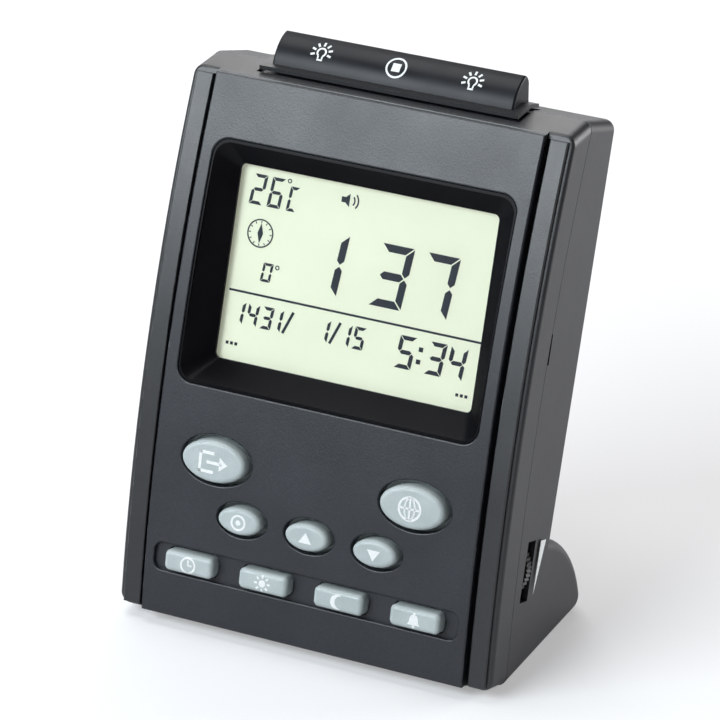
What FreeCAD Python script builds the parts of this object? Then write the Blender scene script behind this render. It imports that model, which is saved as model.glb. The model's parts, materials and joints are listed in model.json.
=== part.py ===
import FreeCAD, Part
import math
import os

# Desk clock that calls the prayer times: a leaning case with a curved front,
# nine keys under a framed display, a press bar on the top edge and a foot behind.
# Lengths in mm, angles in degrees. X to the viewer's right, Y to the back, Z up.
# Profiles are drawn with y = 0 at the panel's lower front edge and z = 0 on the table.

V = FreeCAD.Vector

# Curved front
face_radius = 386.0
lean_bottom = 9.65
face_length = 124.3
front_lift = 3.1

# Case
half_width = 46.7
wall = 2.0
ledge_depth = 1.8
part_depth = 9.8
part_gap = 0.15
case_corner = 2.5
front_round = 1.0
front_base_lift = 0.3
front_wall_back = 4.6
frame_wall_back = 6.3
frame_width = 8.2
part_notch_length = 7.0
part_notch_width = 0.8
part_notch_v = -5.2

# Rear of the case
rear_slope = 20.0
rear_thickness = 14.4
rear_side_round = 1.8
foot_start_y = 33.3
foot_start_z = 25.6
foot_crown_y = 44.6
foot_crown_z = 16.9
foot_end_y = 51.0
foot_end_z = 4.0
foot_corner = 3.2
foot_side_round = case_corner
foot_root_depth = 4.0
foot_heel_share = 0.27

# Front panel, its grooves and the side ribs
panel_half_width = 40.2
panel_thickness = 2.5
panel_seat_gap = 0.1
panel_edge = 0.35
panel_lip = 0.7
panel_lip_height = 2.6
panel_lip_gap = 0.45
groove_width = 0.9
groove_depth = 4.5
rib_depth = 1.0
rib_width = 4.3
rib_short = 0.45
rib_edge = 0.3

# Display
display_y = 28.6
display_z = 80.33
display_lean = 18.6
window_width = 63.5
window_height = 44.4
window_corner = 1.3
mouth_width = 74.4
mouth_bottom = 54.7
mouth_top = 110.2
mouth_corner = 4.0
bezel_gap = 0.15
bezel_set_back = 0.35
bezel_land = 0.65
stack_gap = 0.1
lens_margin = 2.2
lens_thickness = 1.0
glass_margin = 3.3
glass_thickness = 0.9
contact_ledge = 2.6
backlight_thickness = 1.8
holder_wall = 1.6
holder_gap = 0.2
zebra_width = 1.8

# Main board
board_depth = 5.8
board_thickness = 1.4
board_half_width = 43.4
board_top = 32.5
board_bottom = -62.0
board_post_x = 41.0
board_post_radius = 2.3
board_post_high = 28.0
board_post_low = -42.0

# Keys
key_row_origin = 26.0
key_proud = 1.7
key_round = 1.1
key_gap_oval = 1.0
key_gap_bar = 0.35
key_travel = 0.6
key_flange = 0.9
key_flange_gap = 0.75
key_switch_gap = 0.15
large_key = (7.9, 4.8)
small_key = (5.3, 3.1)
large_key_x = 24.6
large_key_v = 12.6
small_key_x = 16.8
small_key_v = 0.3
bar_key = (12.2, 4.8)
bar_key_corner = 1.3
bar_key_pitch = 18.8
bar_key_v = -12.3
tray_width = 75.8
tray_height = 6.6
tray_corner = 2.2
tray_depth = 1.3
keypad_window = (76.0, 40.0)
key_board_size = (73.2, 35.0)
key_board_thickness = 1.2
key_post_low = (34.9, -4.6)
key_post_high = (9.0, 13.5)
key_post_radius = 1.6
switch_size = 5.0
switch_height = 1.9
switch_button_radius = 1.6
switch_button_height = 0.6

# Press bar on the top edge
bar_half_length = 29.6
bar_front_y = 46.6
bar_crown_y = 53.3
bar_height = 5.5
bar_shoulder_y = 48.9
bar_shoulder_height = 3.3
bar_back_y = 55.1
bar_end_round = 0.6
bar_wall = 1.4
bar_back_fall = 1.6
bar_bend_run = 0.62
bar_bend_rise = 0.88
bar_front_room = 3.1
bar_roof_room = 2.5
skirt_half_length = 31.7
skirt_front_y = 44.6
skirt_back_y = 55.6
skirt_thickness = 1.0
skirt_rise = 0.4
bar_travel = 0.9
bar_floor_gap = 0.3
bar_guide_gap = 0.25
stem_x = 22.0
stem_size = (4.0, 2.4)
stem_y = 54.0
stem_bottom_z = 112.4
hook_reach = 0.8
hook_height = 1.6
hook_gap = 0.4
plunger_size = (6.0, 2.4)
stop_switch_size = 6.0
stop_switch_height = 3.5
stop_board_size = (14.0, 8.0)
stop_board_thickness = 1.2
shelf_thickness = 1.5

# Volume wheel
wheel_radius = 8.0
wheel_thickness = 2.2
wheel_proud = 0.4
wheel_v = -56.1
wheel_depth = 10.2
wheel_teeth = 48
wheel_tooth_depth = 0.35
wheel_slot_length = 14.0
wheel_slot_width = 4.2
wheel_shaft_radius = 1.5
shaft_clearance = 0.05
pot_radius = 5.0

# Speaker
speaker_v = 3.0
speaker_radius = 20.0
speaker_rim = 1.2
speaker_depth = 8.4
speaker_seat_gap = 0.1
magnet_radius = 9.0
magnet_height = 4.4
cone_radius = 18.4
cone_inner_radius = 6.0
cone_edge_rise = 0.2
cone_edge_gap = 0.1
dome_room = 1.4
dome_radius = 8.4
dome_centre_rise = 3.6
dome_edge_rise = 0.4
cup_wall = 0.8
cup_margin = 1.0
cone_depth = 3.6
cone_thickness = 0.4
seat_ring_width = 1.8
grille_radius = 17.0
grille_slot = 1.7
grille_pitch = 3.7
grille_rows = 9

# Battery bay in the foot
cell_radius = 7.25
cell_length = 49.2
cell_cap_radius = 2.7
cell_cap_height = 1.3
cell_gap = 0.3
cell_x = -6.0
cell_rear = (37.9, 9.7)
cell_front = (23.6, 13.4)
tray_wall = 1.4
contact_space = 2.6
contact_thickness = 0.3
spring_radius = 3.4
spring_wire = 0.35
spring_turns = 3.5
door_half_width = 29.0
door_gap = 0.3
door_pin_radius = 0.6
door_pin_length = 1.5
door_start = 3.2
door_stop = 4.6
door_swing_gap = 0.3

# Screws
screw_head_radius = 2.4
screw_head_height = 1.4
screw_shank_radius = 1.0
screw_recess_width = 0.6
screw_recess_depth = 0.7
screw_hole_gap = 0.2
case_screw_length = 8.0
board_screw_length = 5.0
panel_screw_length = 3.8
case_post_x = 40.6
case_post_radius = 3.4
case_post_high_v = 36.6
case_post_low_z = 8.6
case_post_seat = 3.0
panel_screw_x = 33.0
panel_screw_s = (50.4, 114.0)
panel_screw_head_radius = 1.9

# Small parts on the main board
blob_radius = 7.0
blob_height = 1.6
blob_place = (-16.0, -26.0)
chip_size = (10.0, 7.5, 1.8)
chip_leg_count = 8
chip_leg_pitch = 1.18
chip_leg_width = 0.45
chip_leg_reach = 1.2
chip_leg_thickness = 0.25
chip_place = (10.0, -30.0)
crystal_radius = 1.5
crystal_length = 8.0
crystal_place = (-32.0, -36.0)
capacitor_radius = 3.0
capacitor_height = 6.5
capacitor_places = ((28.0, -28.0), (28.0, -36.0))
thermistor_radius = 1.2
thermistor_place = (-36.0, -56.0)
lead_radius = 0.25
lead_spread = 0.9
lead_length = 2.5
lamp_size = (3.0, 1.6)
lamp_x = 29.0

far = 200.0


def pose(y, z, lean):
    # Local x along X, local y up the lean, local z out of the front
    return FreeCAD.Placement(V(0, y, z), FreeCAD.Rotation(V(1, 0, 0), 90.0 - lean))


def placed(shape, frame):
    moved = shape.copy()
    moved.Placement = frame.multiply(moved.Placement)
    return moved


arc_y = face_radius * math.cos(math.radians(lean_bottom))
arc_z = front_lift - face_radius * math.sin(math.radians(lean_bottom))


def lean_at(s):
    return lean_bottom + math.degrees(s / face_radius)


def front_point(s, depth, x=0.0):
    # Point at arc length s up the front and at a depth behind its surface
    lean = math.radians(lean_at(s))
    radius = face_radius - depth
    return V(x, arc_y - radius * math.cos(lean), arc_z + radius * math.sin(lean))


def front_at_height(z, depth, x=0.0):
    radius = face_radius - depth
    lean = math.asin((z - arc_z) / radius)
    return V(x, arc_y - radius * math.cos(lean), z)


def front_arc(start, end, depth):
    # Arc between two points that both lie at this depth
    radius = face_radius - depth
    rise = (start.z + end.z) / 2.0 - arc_z
    run = arc_y - (start.y + end.y) / 2.0
    length = math.hypot(rise, run)
    middle = V(start.x, arc_y - radius * run / length, arc_z + radius * rise / length)
    return Part.Arc(start, middle, end).toShape()


def extrude_x(edges, half):
    # Prism across the full width from edges drawn at x = -half
    face = Part.Face(Part.Wire(edges))
    return face.extrude(V(2.0 * half, 0, 0))


def line(a, b):
    return Part.makeLine(a, b)


def band(depth_a, depth_b, s_a, s_b, x_a, x_b):
    # Curved slab between two depths behind the front surface
    a = front_point(s_a, depth_a, x_a)
    b = front_point(s_b, depth_a, x_a)
    c = front_point(s_b, depth_b, x_a)
    d = front_point(s_a, depth_b, x_a)
    edges = [front_arc(a, b, depth_a), line(b, c), front_arc(c, d, depth_b), line(d, a)]
    return Part.Face(Part.Wire(edges)).extrude(V(x_b - x_a, 0, 0))


def block(x_a, x_b, y_a, y_b, z_a, z_b):
    return Part.makeBox(x_b - x_a, y_b - y_a, z_b - z_a, V(x_a, y_a, z_a))


def rounded_wire(width, height, corner, z, x=0.0, y=0.0):
    w = width / 2.0 - corner
    h = height / 2.0 - corner
    edges = []
    for sx, sy, start in ((1, 1, 0), (-1, 1, 90), (-1, -1, 180), (1, -1, 270)):
        centre = V(x + sx * w, y + sy * h, z)
        edges.append(Part.makeCircle(corner, centre, V(0, 0, 1), start, start + 90))
    sides = []
    for i in range(4):
        sides.append(edges[i])
        here = edges[i].Vertexes[-1].Point
        there = edges[(i + 1) % 4].Vertexes[0].Point
        sides.append(line(here, there))
    return Part.Wire(sides)


def rounded_slab(width, height, corner, z_a, z_b, x=0.0, y=0.0):
    wire = rounded_wire(width, height, corner, z_a, x, y)
    return Part.Face(wire).extrude(V(0, 0, z_b - z_a))


def slab(width, height, z_a, z_b, x=0.0, y=0.0):
    corner = V(x - width / 2.0, y - height / 2.0, z_a)
    return Part.makeBox(width, height, z_b - z_a, corner)


def oval_slab(half_long, half_short, z_a, z_b, x=0.0, y=0.0):
    ellipse = Part.Ellipse(V(x, y, z_a), half_long, half_short).toShape()
    return Part.Face(Part.Wire([ellipse])).extrude(V(0, 0, z_b - z_a))


def disc(radius, z_a, z_b, x=0.0, y=0.0):
    return Part.makeCylinder(radius, z_b - z_a, V(x, y, z_a))


def joined(shapes):
    return shapes[0].fuse(shapes[1:]).removeSplitter()


def edges_where(shape, test):
    return [edge for edge in shape.Edges if test(edge)]


def on_front(point, depth, slack=0.01):
    distance = math.hypot(point.y - arc_y, point.z - arc_z)
    return abs(distance - (face_radius - depth)) < slack


def lies_on_front(edge, depth):
    span = edge.LastParameter - edge.FirstParameter
    for share in (0.0, 0.35, 0.7, 1.0):
        if not on_front(edge.valueAt(edge.FirstParameter + share * span), depth):
            return False
    return True


# Frames: the display and all behind it, and the keypad
display = pose(display_y, display_z, display_lean)
key_lean = lean_at(key_row_origin)
key_spot = front_point(key_row_origin, 0.0)
keypad = pose(key_spot.y, key_spot.z, key_lean)

top_z = front_point(face_length, 0.0).z
part_top = front_at_height(top_z, part_depth + part_gap)


def screw(length, head_radius):
    # Head top at z = head height, shank down from z = 0, with a cross recess
    body = disc(head_radius, 0, screw_head_height)
    rim = edges_where(body, lambda e: e.BoundBox.ZMin > screw_head_height - 0.01)
    body = body.makeFillet(screw_head_height * 0.5, rim)
    shank = disc(screw_shank_radius, -length, 0)
    reach = head_radius * 1.3
    top = screw_head_height
    cross = [
        slab(reach, screw_recess_width, top - screw_recess_depth, top + 1.0),
        slab(screw_recess_width, reach, top - screw_recess_depth, top + 1.0),
    ]
    return joined([body, shank]).cut(cross)


def front_case_solid():
    # Outer body of the front half, with its top corners and front edge rounded
    low = front_at_height(front_lift - rib_short, ledge_depth, -half_width)
    high = front_at_height(top_z, ledge_depth, -half_width)
    back_high = front_at_height(top_z, part_depth, -half_width)
    back_low = front_at_height(front_base_lift, part_depth, -half_width)
    edges = [
        front_arc(low, high, ledge_depth),
        line(high, back_high),
        front_arc(back_high, back_low, part_depth),
        line(back_low, low),
    ]
    body = extrude_x(edges, half_width)

    def is_corner(edge):
        box = edge.BoundBox
        outer = box.XLength < 0.01 and abs(abs(box.XMax) - half_width) < 0.01
        level = box.ZLength < part_depth and box.YLength < 2.0 * part_depth
        return outer and level

    body = body.makeFillet(case_corner, edges_where(body, is_corner))
    rim = edges_where(body, lambda e: lies_on_front(e, ledge_depth))
    return body.makeFillet(front_round, rim)


def front_shell():
    body = front_case_solid()
    inner = half_width - wall
    solid_x = half_width - frame_width
    groove_x = panel_half_width + groove_width
    lip_start = face_length - panel_lip_height
    # Block that carries the top face forward to the panel's lip
    crown = band(panel_lip + panel_lip_gap, ledge_depth + front_round + wall,
                 lip_start, face_length + wall, -panel_half_width, panel_half_width)
    crown = crown.cut(block(-far, far, -far, far, top_z, far))
    ribs = []
    for side in (-1, 1):
        near = side * groove_x
        out = side * (groove_x + rib_width)
        rib = band(rib_depth, ledge_depth + wall, rib_short, face_length - rib_short,
                   min(near, out), max(near, out))
        rim = edges_where(rib, lambda e: lies_on_front(e, rib_depth))
        ribs.append(rib.makeFillet(rib_edge, rim))
    body = joined([body, crown] + ribs)
    cuts = []
    # Seat of the panel and the grooves beside it
    cuts.append(band(-wall, panel_thickness + panel_seat_gap, -wall, lip_start,
                     -panel_half_width, panel_half_width))
    for side in (-1, 1):
        near = side * panel_half_width
        out = side * groove_x
        cuts.append(band(-wall, groove_depth, -wall, face_length - rib_short,
                         min(near, out), max(near, out)))
    # Hollow behind the front wall, deeper between the side frames
    hollow = band(frame_wall_back, part_depth + wall, 0.0, face_length + wall, -inner, inner)
    middle = band(front_wall_back, part_depth + wall, 0.0, face_length + wall, -solid_x, solid_x)
    room = block(-inner, inner, 0.0, far, wall + front_base_lift, top_z - wall)
    cuts.append(joined([hollow, middle]).common(room))
    # Openings for the display frame and the keypad
    mouth_height = mouth_top - mouth_bottom
    mouth_s = (mouth_top + mouth_bottom) / 2.0
    cuts.append(placed(rounded_slab(mouth_width, mouth_height, mouth_corner, -far / 4, far / 4),
                       mouth_pose(mouth_s)))
    cuts.append(placed(slab(keypad_window[0], keypad_window[1], -far / 8, far / 8), keypad))
    # Room for the press bar's skirt
    cuts.append(bar_recess())
    body = body.cut(cuts)
    # Posts for the main board and bosses for the case screws
    fill = band(frame_wall_back - 1.0, part_depth, 0.0, face_length, -inner, inner)
    fill = fill.common(room)
    deep = band(frame_wall_back - 1.0, far / 4, 0.0, face_length, -inner, inner).common(room)
    additions = []
    for x, v in board_posts():
        post = placed(disc(board_post_radius, -board_depth, far / 4, x, v), display)
        additions.append(post.common(deep))
    for x, v, frame, depth in case_posts():
        boss = placed(disc(case_post_radius, -far / 4, far / 4, x, v), frame)
        additions.append(boss.common(fill))
    body = joined([body] + additions)
    holes = []
    for x, v in board_posts():
        deepest = board_screw_length - board_depth - board_thickness
        hole = disc(screw_shank_radius, -board_depth, deepest, x, v)
        holes.append(placed(hole, display))
    for x, v, frame, depth in case_posts():
        seat = -depth - case_post_seat
        hole = disc(screw_shank_radius, seat, seat + case_screw_length, x, v)
        holes.append(placed(hole, frame))
    for x, s in panel_screw_spots():
        spot = front_point(s, 0.0)
        hole = disc(screw_shank_radius + screw_hole_gap, -far / 20, far / 20, x, 0.0)
        holes.append(placed(hole, pose(spot.y, spot.z, lean_at(s))))
    return body.cut(holes)


def mouth_pose(s):
    spot = front_point(s, 0.0)
    return pose(spot.y, spot.z, lean_at(s))


def board_posts():
    return [(sx * board_post_x, v) for sx in (-1, 1) for v in (board_post_high, board_post_low)]


def case_posts():
    # Upper screws run square to the display, lower screws run level through the foot
    posts = []
    for side in (-1, 1):
        posts.append((side * case_post_x, case_post_high_v, display, part_line_depth(case_post_high_v)))
        depth = front_at_height(case_post_low_z, part_depth).y
        posts.append((side * case_post_x, case_post_low_z, pose(0.0, 0.0, 0.0), depth))
    return posts


def part_line_depth(v):
    # Depth in the display frame at which the part line crosses this height
    lean = math.radians(display_lean)
    depth = 0.0
    for _ in range(20):
        z = display_z + v * math.cos(lean) - depth * math.sin(lean)
        y = front_at_height(z, part_depth).y
        depth = (y - display_y - v * math.sin(lean)) / math.cos(lean)
    return depth


def panel_screw_spots():
    return [(sx * panel_screw_x, s) for sx in (-1, 1) for s in panel_screw_s]


def fascia_panel():
    body = band(0.0, panel_thickness, 0.0, face_length + wall, -panel_half_width, panel_half_width)
    body = body.cut([
        block(-far, far, -far, far, top_z, far),
        band(panel_lip, panel_thickness + wall, face_length - panel_lip_height - panel_lip_gap,
             face_length + 2 * wall, -far, far),
    ])
    mouth_height = mouth_top - mouth_bottom
    mouth_s = (mouth_top + mouth_bottom) / 2.0
    mouth = rounded_slab(mouth_width, mouth_height, mouth_corner, -far / 4, far / 4)
    cuts = [placed(mouth, mouth_pose(mouth_s))]
    for name, x, v, size in oval_keys():
        opening = oval_slab(size[0] + key_gap_oval, size[1] + key_gap_oval, -far / 8, far / 8, x, v)
        cuts.append(placed(opening, keypad))
    tray = rounded_slab(tray_width, tray_height, tray_corner, -tray_depth, far / 8, 0.0, bar_key_v)
    cuts.append(placed(tray, keypad))
    body = body.cut(cuts)
    rim = edges_where(body, lambda e: lies_on_front(e, 0.0))
    body = body.makeFillet(panel_edge, rim)
    holes = []
    for name, x, v, size in bar_keys():
        opening = rounded_slab(size[0] + 2 * key_gap_bar, size[1] + 2 * key_gap_bar,
                               bar_key_corner + key_gap_bar, -far / 8, far / 8, x, v)
        holes.append(placed(opening, keypad))
    body = body.cut(holes)
    # Posts for the key board, and pilot holes for the screws
    back = band(panel_thickness - 0.5, far / 10, 0.0, face_length, -panel_half_width, panel_half_width)
    posts = []
    for x, v in key_posts():
        post = placed(disc(key_post_radius, key_board_front(), 0.0, x, v), keypad)
        posts.append(post.common(back))
    body = joined([body] + posts)
    pilots = []
    for x, v in key_posts():
        pilot = disc(screw_shank_radius, key_board_front(), key_board_front() + board_screw_length / 2, x, v)
        pilots.append(placed(pilot, keypad))
    for x, s in panel_screw_spots():
        spot = front_point(s, 0.0)
        pilot = disc(screw_shank_radius, -far / 20, -(front_wall_back - panel_screw_length), x, 0.0)
        pilots.append(placed(pilot, pose(spot.y, spot.z, lean_at(s))))
    return body.cut(pilots)


def oval_keys():
    return [
        ("key_exit", -large_key_x, large_key_v, large_key),
        ("key_city", large_key_x, large_key_v, large_key),
        ("key_set", -small_key_x, small_key_v, small_key),
        ("key_up", 0.0, small_key_v, small_key),
        ("key_down", small_key_x, small_key_v, small_key),
    ]


def bar_keys():
    names = ("key_hour_format", "key_summer_time", "key_azan", "key_alarm")
    return [(name, (i - 1.5) * bar_key_pitch, bar_key_v, bar_key) for i, name in enumerate(names)]


def key_posts():
    return [(sx * x, v) for sx in (-1, 1) for x, v in (key_post_low, key_post_high)]


def key_back():
    return -(panel_thickness + key_flange_gap + key_flange)


def key_switch_top():
    return key_back() - key_travel - key_switch_gap


def key_board_front():
    return key_switch_top() - switch_button_height - switch_height


def oval_key(x, v, size):
    cap = oval_slab(size[0], size[1], key_back(), key_proud, x, v)
    rim = edges_where(cap, lambda e: e.BoundBox.ZMin > key_proud - 0.01)
    cap = cap.makeFillet(key_round, rim)
    reach = key_gap_oval + key_flange
    flange = oval_slab(size[0] + reach, size[1] + reach, key_back(), key_back() + key_flange, x, v)
    return placed(joined([cap, flange]), keypad)


def bar_key_solid(x, v, size):
    cap = rounded_slab(size[0], size[1], bar_key_corner, key_back(), key_proud, x, v)
    rim = edges_where(cap, lambda e: e.BoundBox.ZMin > key_proud - 0.01)
    cap = cap.makeFillet(key_round, rim)
    reach = 2 * (key_gap_bar + key_flange)
    flange = rounded_slab(size[0] + reach, size[1] + reach, bar_key_corner + key_gap_bar,
                          key_back(), key_back() + key_flange, x, v)
    return placed(joined([cap, flange]), keypad)


def lcd_bezel():
    # Frame that slopes from the panel's opening down to the display window
    mouth_height = mouth_top - mouth_bottom
    mouth_s = (mouth_top + mouth_bottom) / 2.0
    outer_pose = mouth_pose(mouth_s)
    body = rounded_slab(mouth_width - 2 * bezel_gap, mouth_height - 2 * bezel_gap,
                        mouth_corner - bezel_gap, -far / 8, far / 8)
    body = placed(body, outer_pose)
    reach = band(bezel_set_back, far / 8, mouth_bottom - 10, mouth_top + 10, -far / 4, far / 4)
    behind = placed(slab(far, far, -bezel_land, far / 4), display)
    body = body.common(reach).common(behind)
    sag = mouth_height * mouth_height / (8.0 * face_radius)
    rim = 2 * (bezel_gap + bezel_set_back)
    start = rounded_wire(window_width, window_height, window_corner, 0.0)
    start.transformShape(display.toMatrix(), True)
    end = rounded_wire(mouth_width - rim, mouth_height - rim, mouth_corner - rim / 2, -sag)
    end.transformShape(outer_pose.toMatrix(), True)
    funnel = Part.makeLoft([start, end], True, True)
    mouth = rounded_slab(mouth_width - rim, mouth_height - rim, mouth_corner - rim / 2, -sag, far / 8)
    land = rounded_slab(window_width, window_height, window_corner, -far / 20, 0.0)
    return body.cut([funnel, placed(mouth, outer_pose), placed(land, display)])


lens_front = bezel_land + stack_gap / 2
glass_front = lens_front + lens_thickness + stack_gap
glass_middle = glass_front + glass_thickness
glass_back = glass_middle + glass_thickness
light_front = glass_back + stack_gap
light_back = light_front + backlight_thickness
glass_width = window_width + 2 * glass_margin
glass_height = window_height + 2 * glass_margin


def display_window():
    width = window_width + 2 * lens_margin
    height = window_height + 2 * lens_margin
    return placed(rounded_slab(width, height, window_corner, -lens_front - lens_thickness, -lens_front),
                  display)


def lcd_front_glass():
    return placed(slab(glass_width, glass_height, -glass_middle, -glass_front), display)


def lcd_rear_glass():
    height = glass_height - contact_ledge
    return placed(slab(glass_width, height, -glass_back, -glass_middle, 0.0, contact_ledge / 2), display)


def lcd_backlight():
    height = glass_height - contact_ledge
    return placed(slab(glass_width, height, -light_back, -light_front, 0.0, contact_ledge / 2), display)


def zebra_strip():
    v = -glass_height / 2 + zebra_width / 2 + stack_gap
    return placed(slab(glass_width - 4, zebra_width, -board_depth, -glass_middle, 0.0, v), display)


def lcd_holder():
    inner_w = glass_width + 2 * holder_gap
    inner_h = glass_height + 2 * holder_gap
    outer = slab(inner_w + 2 * holder_wall, inner_h + 2 * holder_wall, -board_depth, -bezel_land)
    room = slab(inner_w, inner_h, -far / 4, -lens_front - lens_thickness)
    lens_w = window_width + 2 * lens_margin + 2 * holder_gap
    lens_h = window_height + 2 * lens_margin + 2 * holder_gap
    hole = slab(lens_w, lens_h, -far / 4, far / 4)
    ring = placed(outer.cut([room, hole]), display)
    clear = band(front_wall_back + stack_gap, far / 4, 0.0, face_length, -far, far)
    return ring.common(clear)


def main_board():
    board = slab(2 * board_half_width, board_top - board_bottom, -board_depth - board_thickness,
                 -board_depth, 0.0, (board_top + board_bottom) / 2)
    holes = []
    for x, v in board_posts():
        holes.append(disc(screw_shank_radius + screw_hole_gap, -far / 4, far / 4, x, v))
    return placed(board.cut(holes), display)


board_back = board_depth + board_thickness


def main_chip():
    # Drop of black resin over the bare chip
    sphere_radius = (blob_radius ** 2 + blob_height ** 2) / (2 * blob_height)
    ball = Part.makeSphere(sphere_radius, V(blob_place[0], blob_place[1], sphere_radius - board_back - blob_height))
    half = slab(far, far, -far / 2, -board_back)
    return placed(ball.common(half), display)


def voice_chip():
    body = slab(chip_size[0], chip_size[1], -board_back - chip_size[2], -board_back,
                chip_place[0], chip_place[1])
    legs = []
    for i in range(chip_leg_count):
        x = chip_place[0] + (i - (chip_leg_count - 1) / 2) * chip_leg_pitch
        legs.append(slab(chip_leg_width, chip_size[1] + 2 * chip_leg_reach,
                         -board_back - chip_leg_thickness, -board_back, x, chip_place[1]))
    return placed(joined([body] + legs), display)


def clock_crystal():
    can = Part.makeCylinder(crystal_radius, crystal_length,
                            V(crystal_place[0], crystal_place[1], -board_back - crystal_radius), V(0, 1, 0))
    return placed(can, display)


def capacitors():
    cans = []
    for x, v in capacitor_places:
        cans.append(placed(disc(capacitor_radius, -board_back - capacitor_height, -board_back, x, v), display))
    return Part.makeCompound(cans)


def thermistor():
    x, v = thermistor_place
    depth = board_back + lead_length + thermistor_radius / 2
    bead = Part.makeSphere(thermistor_radius, V(x, v, -depth))
    leads = []
    for side in (-1, 1):
        leads.append(disc(lead_radius, -depth, -board_back, x + side * lead_spread / 2, v))
    return placed(joined([bead] + leads), display)


def backlight_lamps():
    lamps = []
    edge = glass_height / 2 + holder_gap + holder_wall
    for side in (-1, 1):
        v = edge + lamp_size[1] / 2 + stack_gap
        lamps.append(placed(slab(lamp_size[0], lamp_size[1], -board_depth, -board_depth + lamp_size[1],
                                 side * lamp_x, v), display))
    return Part.makeCompound(lamps)


def screws_at(spots, frame, seat, length, head_radius):
    # Screws that point out of the front, heads on the back at local z = seat
    group = []
    for x, v in spots:
        one = screw(length, head_radius)
        one.Placement = FreeCAD.Placement(V(x, v, seat), FreeCAD.Rotation(V(1, 0, 0), 180))
        group.append(placed(one, frame))
    return group


def board_screws():
    return Part.makeCompound(screws_at(board_posts(), display, -board_back, board_screw_length,
                                       screw_head_radius))


def case_screws():
    group = []
    for x, v, frame, depth in case_posts():
        seat = -depth - case_post_seat
        group += screws_at([(x, v)], frame, seat, case_screw_length, screw_head_radius)
    return Part.makeCompound(group)


def key_board_screws():
    seat = key_board_front() - key_board_thickness
    return Part.makeCompound(screws_at(key_posts(), keypad, seat, board_screw_length / 2 + key_board_thickness,
                                       panel_screw_head_radius))


def panel_screws():
    group = []
    for x, s in panel_screw_spots():
        spot = front_point(s, 0.0)
        frame = pose(spot.y, spot.z, lean_at(s))
        group += screws_at([(x, 0.0)], frame, -front_wall_back, panel_screw_length, panel_screw_head_radius)
    return Part.makeCompound(group)


def key_board():
    front = key_board_front()
    board = slab(key_board_size[0], key_board_size[1], front - key_board_thickness, front)
    holes = []
    for x, v in key_posts():
        holes.append(disc(screw_shank_radius + screw_hole_gap, -far / 4, far / 4, x, v))
    return placed(board.cut(holes), keypad)


def key_switches():
    front = key_board_front()
    group = []
    for name, x, v, size in oval_keys() + bar_keys():
        body = slab(switch_size, switch_size, front, front + switch_height, x, v)
        button = disc(switch_button_radius, front + switch_height, key_switch_top(), x, v)
        group.append(placed(joined([body, button]), keypad))
    return Part.makeCompound(group)


def rear_main_edges(x):
    # Outline of the rear half without its foot
    slope = math.radians(rear_slope)
    top_front = front_at_height(top_z, part_depth + part_gap, x)
    low_front = front_at_height(0.0, part_depth + part_gap, x)
    top_back = V(x, part_top.y + rear_thickness * math.cos(slope), top_z - rear_thickness * math.sin(slope))
    rise = top_back.z - foot_start_z
    run = top_back.y - foot_start_y
    low_y = foot_start_y - run * foot_start_z / rise
    low_back = V(x, low_y, 0.0)
    return [
        front_arc(low_front, top_front, part_depth + part_gap),
        line(top_front, top_back),
        line(top_back, low_back),
        line(low_back, low_front),
    ]


def foot_curve(x):
    return Part.Arc(V(x, foot_start_y, foot_start_z), V(x, foot_crown_y, foot_crown_z),
                    V(x, foot_end_y, foot_end_z)).toShape()


def foot_edges(x):
    curve = foot_curve(x)
    start = V(x, foot_start_y, foot_start_z)
    inside = start - curve.tangentAt(curve.FirstParameter) * foot_root_depth
    end = V(x, foot_end_y, foot_end_z)
    heel = V(x, foot_end_y - foot_corner, 0.0)
    bend = V(x, foot_end_y - foot_corner * foot_heel_share, foot_end_z * foot_heel_share)
    root_low = V(x, front_at_height(0.0, part_depth + part_gap).y + wall, 0.0)
    root_high = V(x, root_low.y + wall, foot_start_z * 0.5)
    return [
        curve,
        Part.Arc(end, bend, heel).toShape(),
        line(heel, root_low),
        line(root_low, root_high),
        line(root_high, inside),
        line(inside, start),
    ]


def rear_solid():
    main = extrude_x(rear_main_edges(-half_width), half_width)

    def is_top_side(edge):
        box = edge.BoundBox
        side = box.XLength < 0.01 and abs(abs(box.XMax) - half_width) < 0.01
        return side and box.ZMin > part_top.z - rear_thickness and box.YLength > 2

    def is_bottom_side(edge):
        box = edge.BoundBox
        side = box.XLength < 0.01 and abs(abs(box.XMax) - half_width) < 0.01
        return side and box.ZMax < 0.01

    main = main.makeFillet(case_corner, edges_where(main, is_top_side))
    main = main.makeFillet(case_corner, edges_where(main, is_bottom_side))

    def is_rear_rim(edge):
        box = edge.BoundBox
        beyond = box.YMax > part_top.y + rear_thickness * 0.5
        return beyond and not touches_part_line(edge) and touches_rear_face(edge)

    main = main.makeFillet(rear_side_round, edges_where(main, is_rear_rim))
    foot = extrude_x(foot_edges(-half_width), half_width)

    def is_foot_rim(edge):
        box = edge.BoundBox
        side = box.XLength < 0.01 and abs(abs(box.XMax) - half_width) < 0.01
        return side and box.YMax > foot_end_y - foot_corner + 0.5 and box.ZMax > 0.1

    foot = foot.makeFillet(foot_side_round, edges_where(foot, is_foot_rim))
    return joined([main, foot])


def touches_part_line(edge):
    middle = edge.valueAt((edge.FirstParameter + edge.LastParameter) / 2)
    return on_front(middle, part_depth + part_gap)


def rear_face_line():
    ends = rear_main_edges(0.0)[2].Vertexes
    return ends[0].Point, ends[1].Point


def touches_rear_face(edge):
    # True for an edge whose whole run lies on the rear face
    a, b = rear_face_line()
    for vertex in edge.Vertexes:
        flat = V(0, vertex.Point.y, vertex.Point.z)
        if flat.distanceToLine(a, b - a) > 0.01:
            return False
    return True


def rear_profile_face(x):
    main = Part.Face(Part.Wire(rear_main_edges(x)))
    foot = Part.Face(Part.Wire(foot_edges(x)))
    return main.fuse(foot).removeSplitter().Faces[0]


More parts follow.
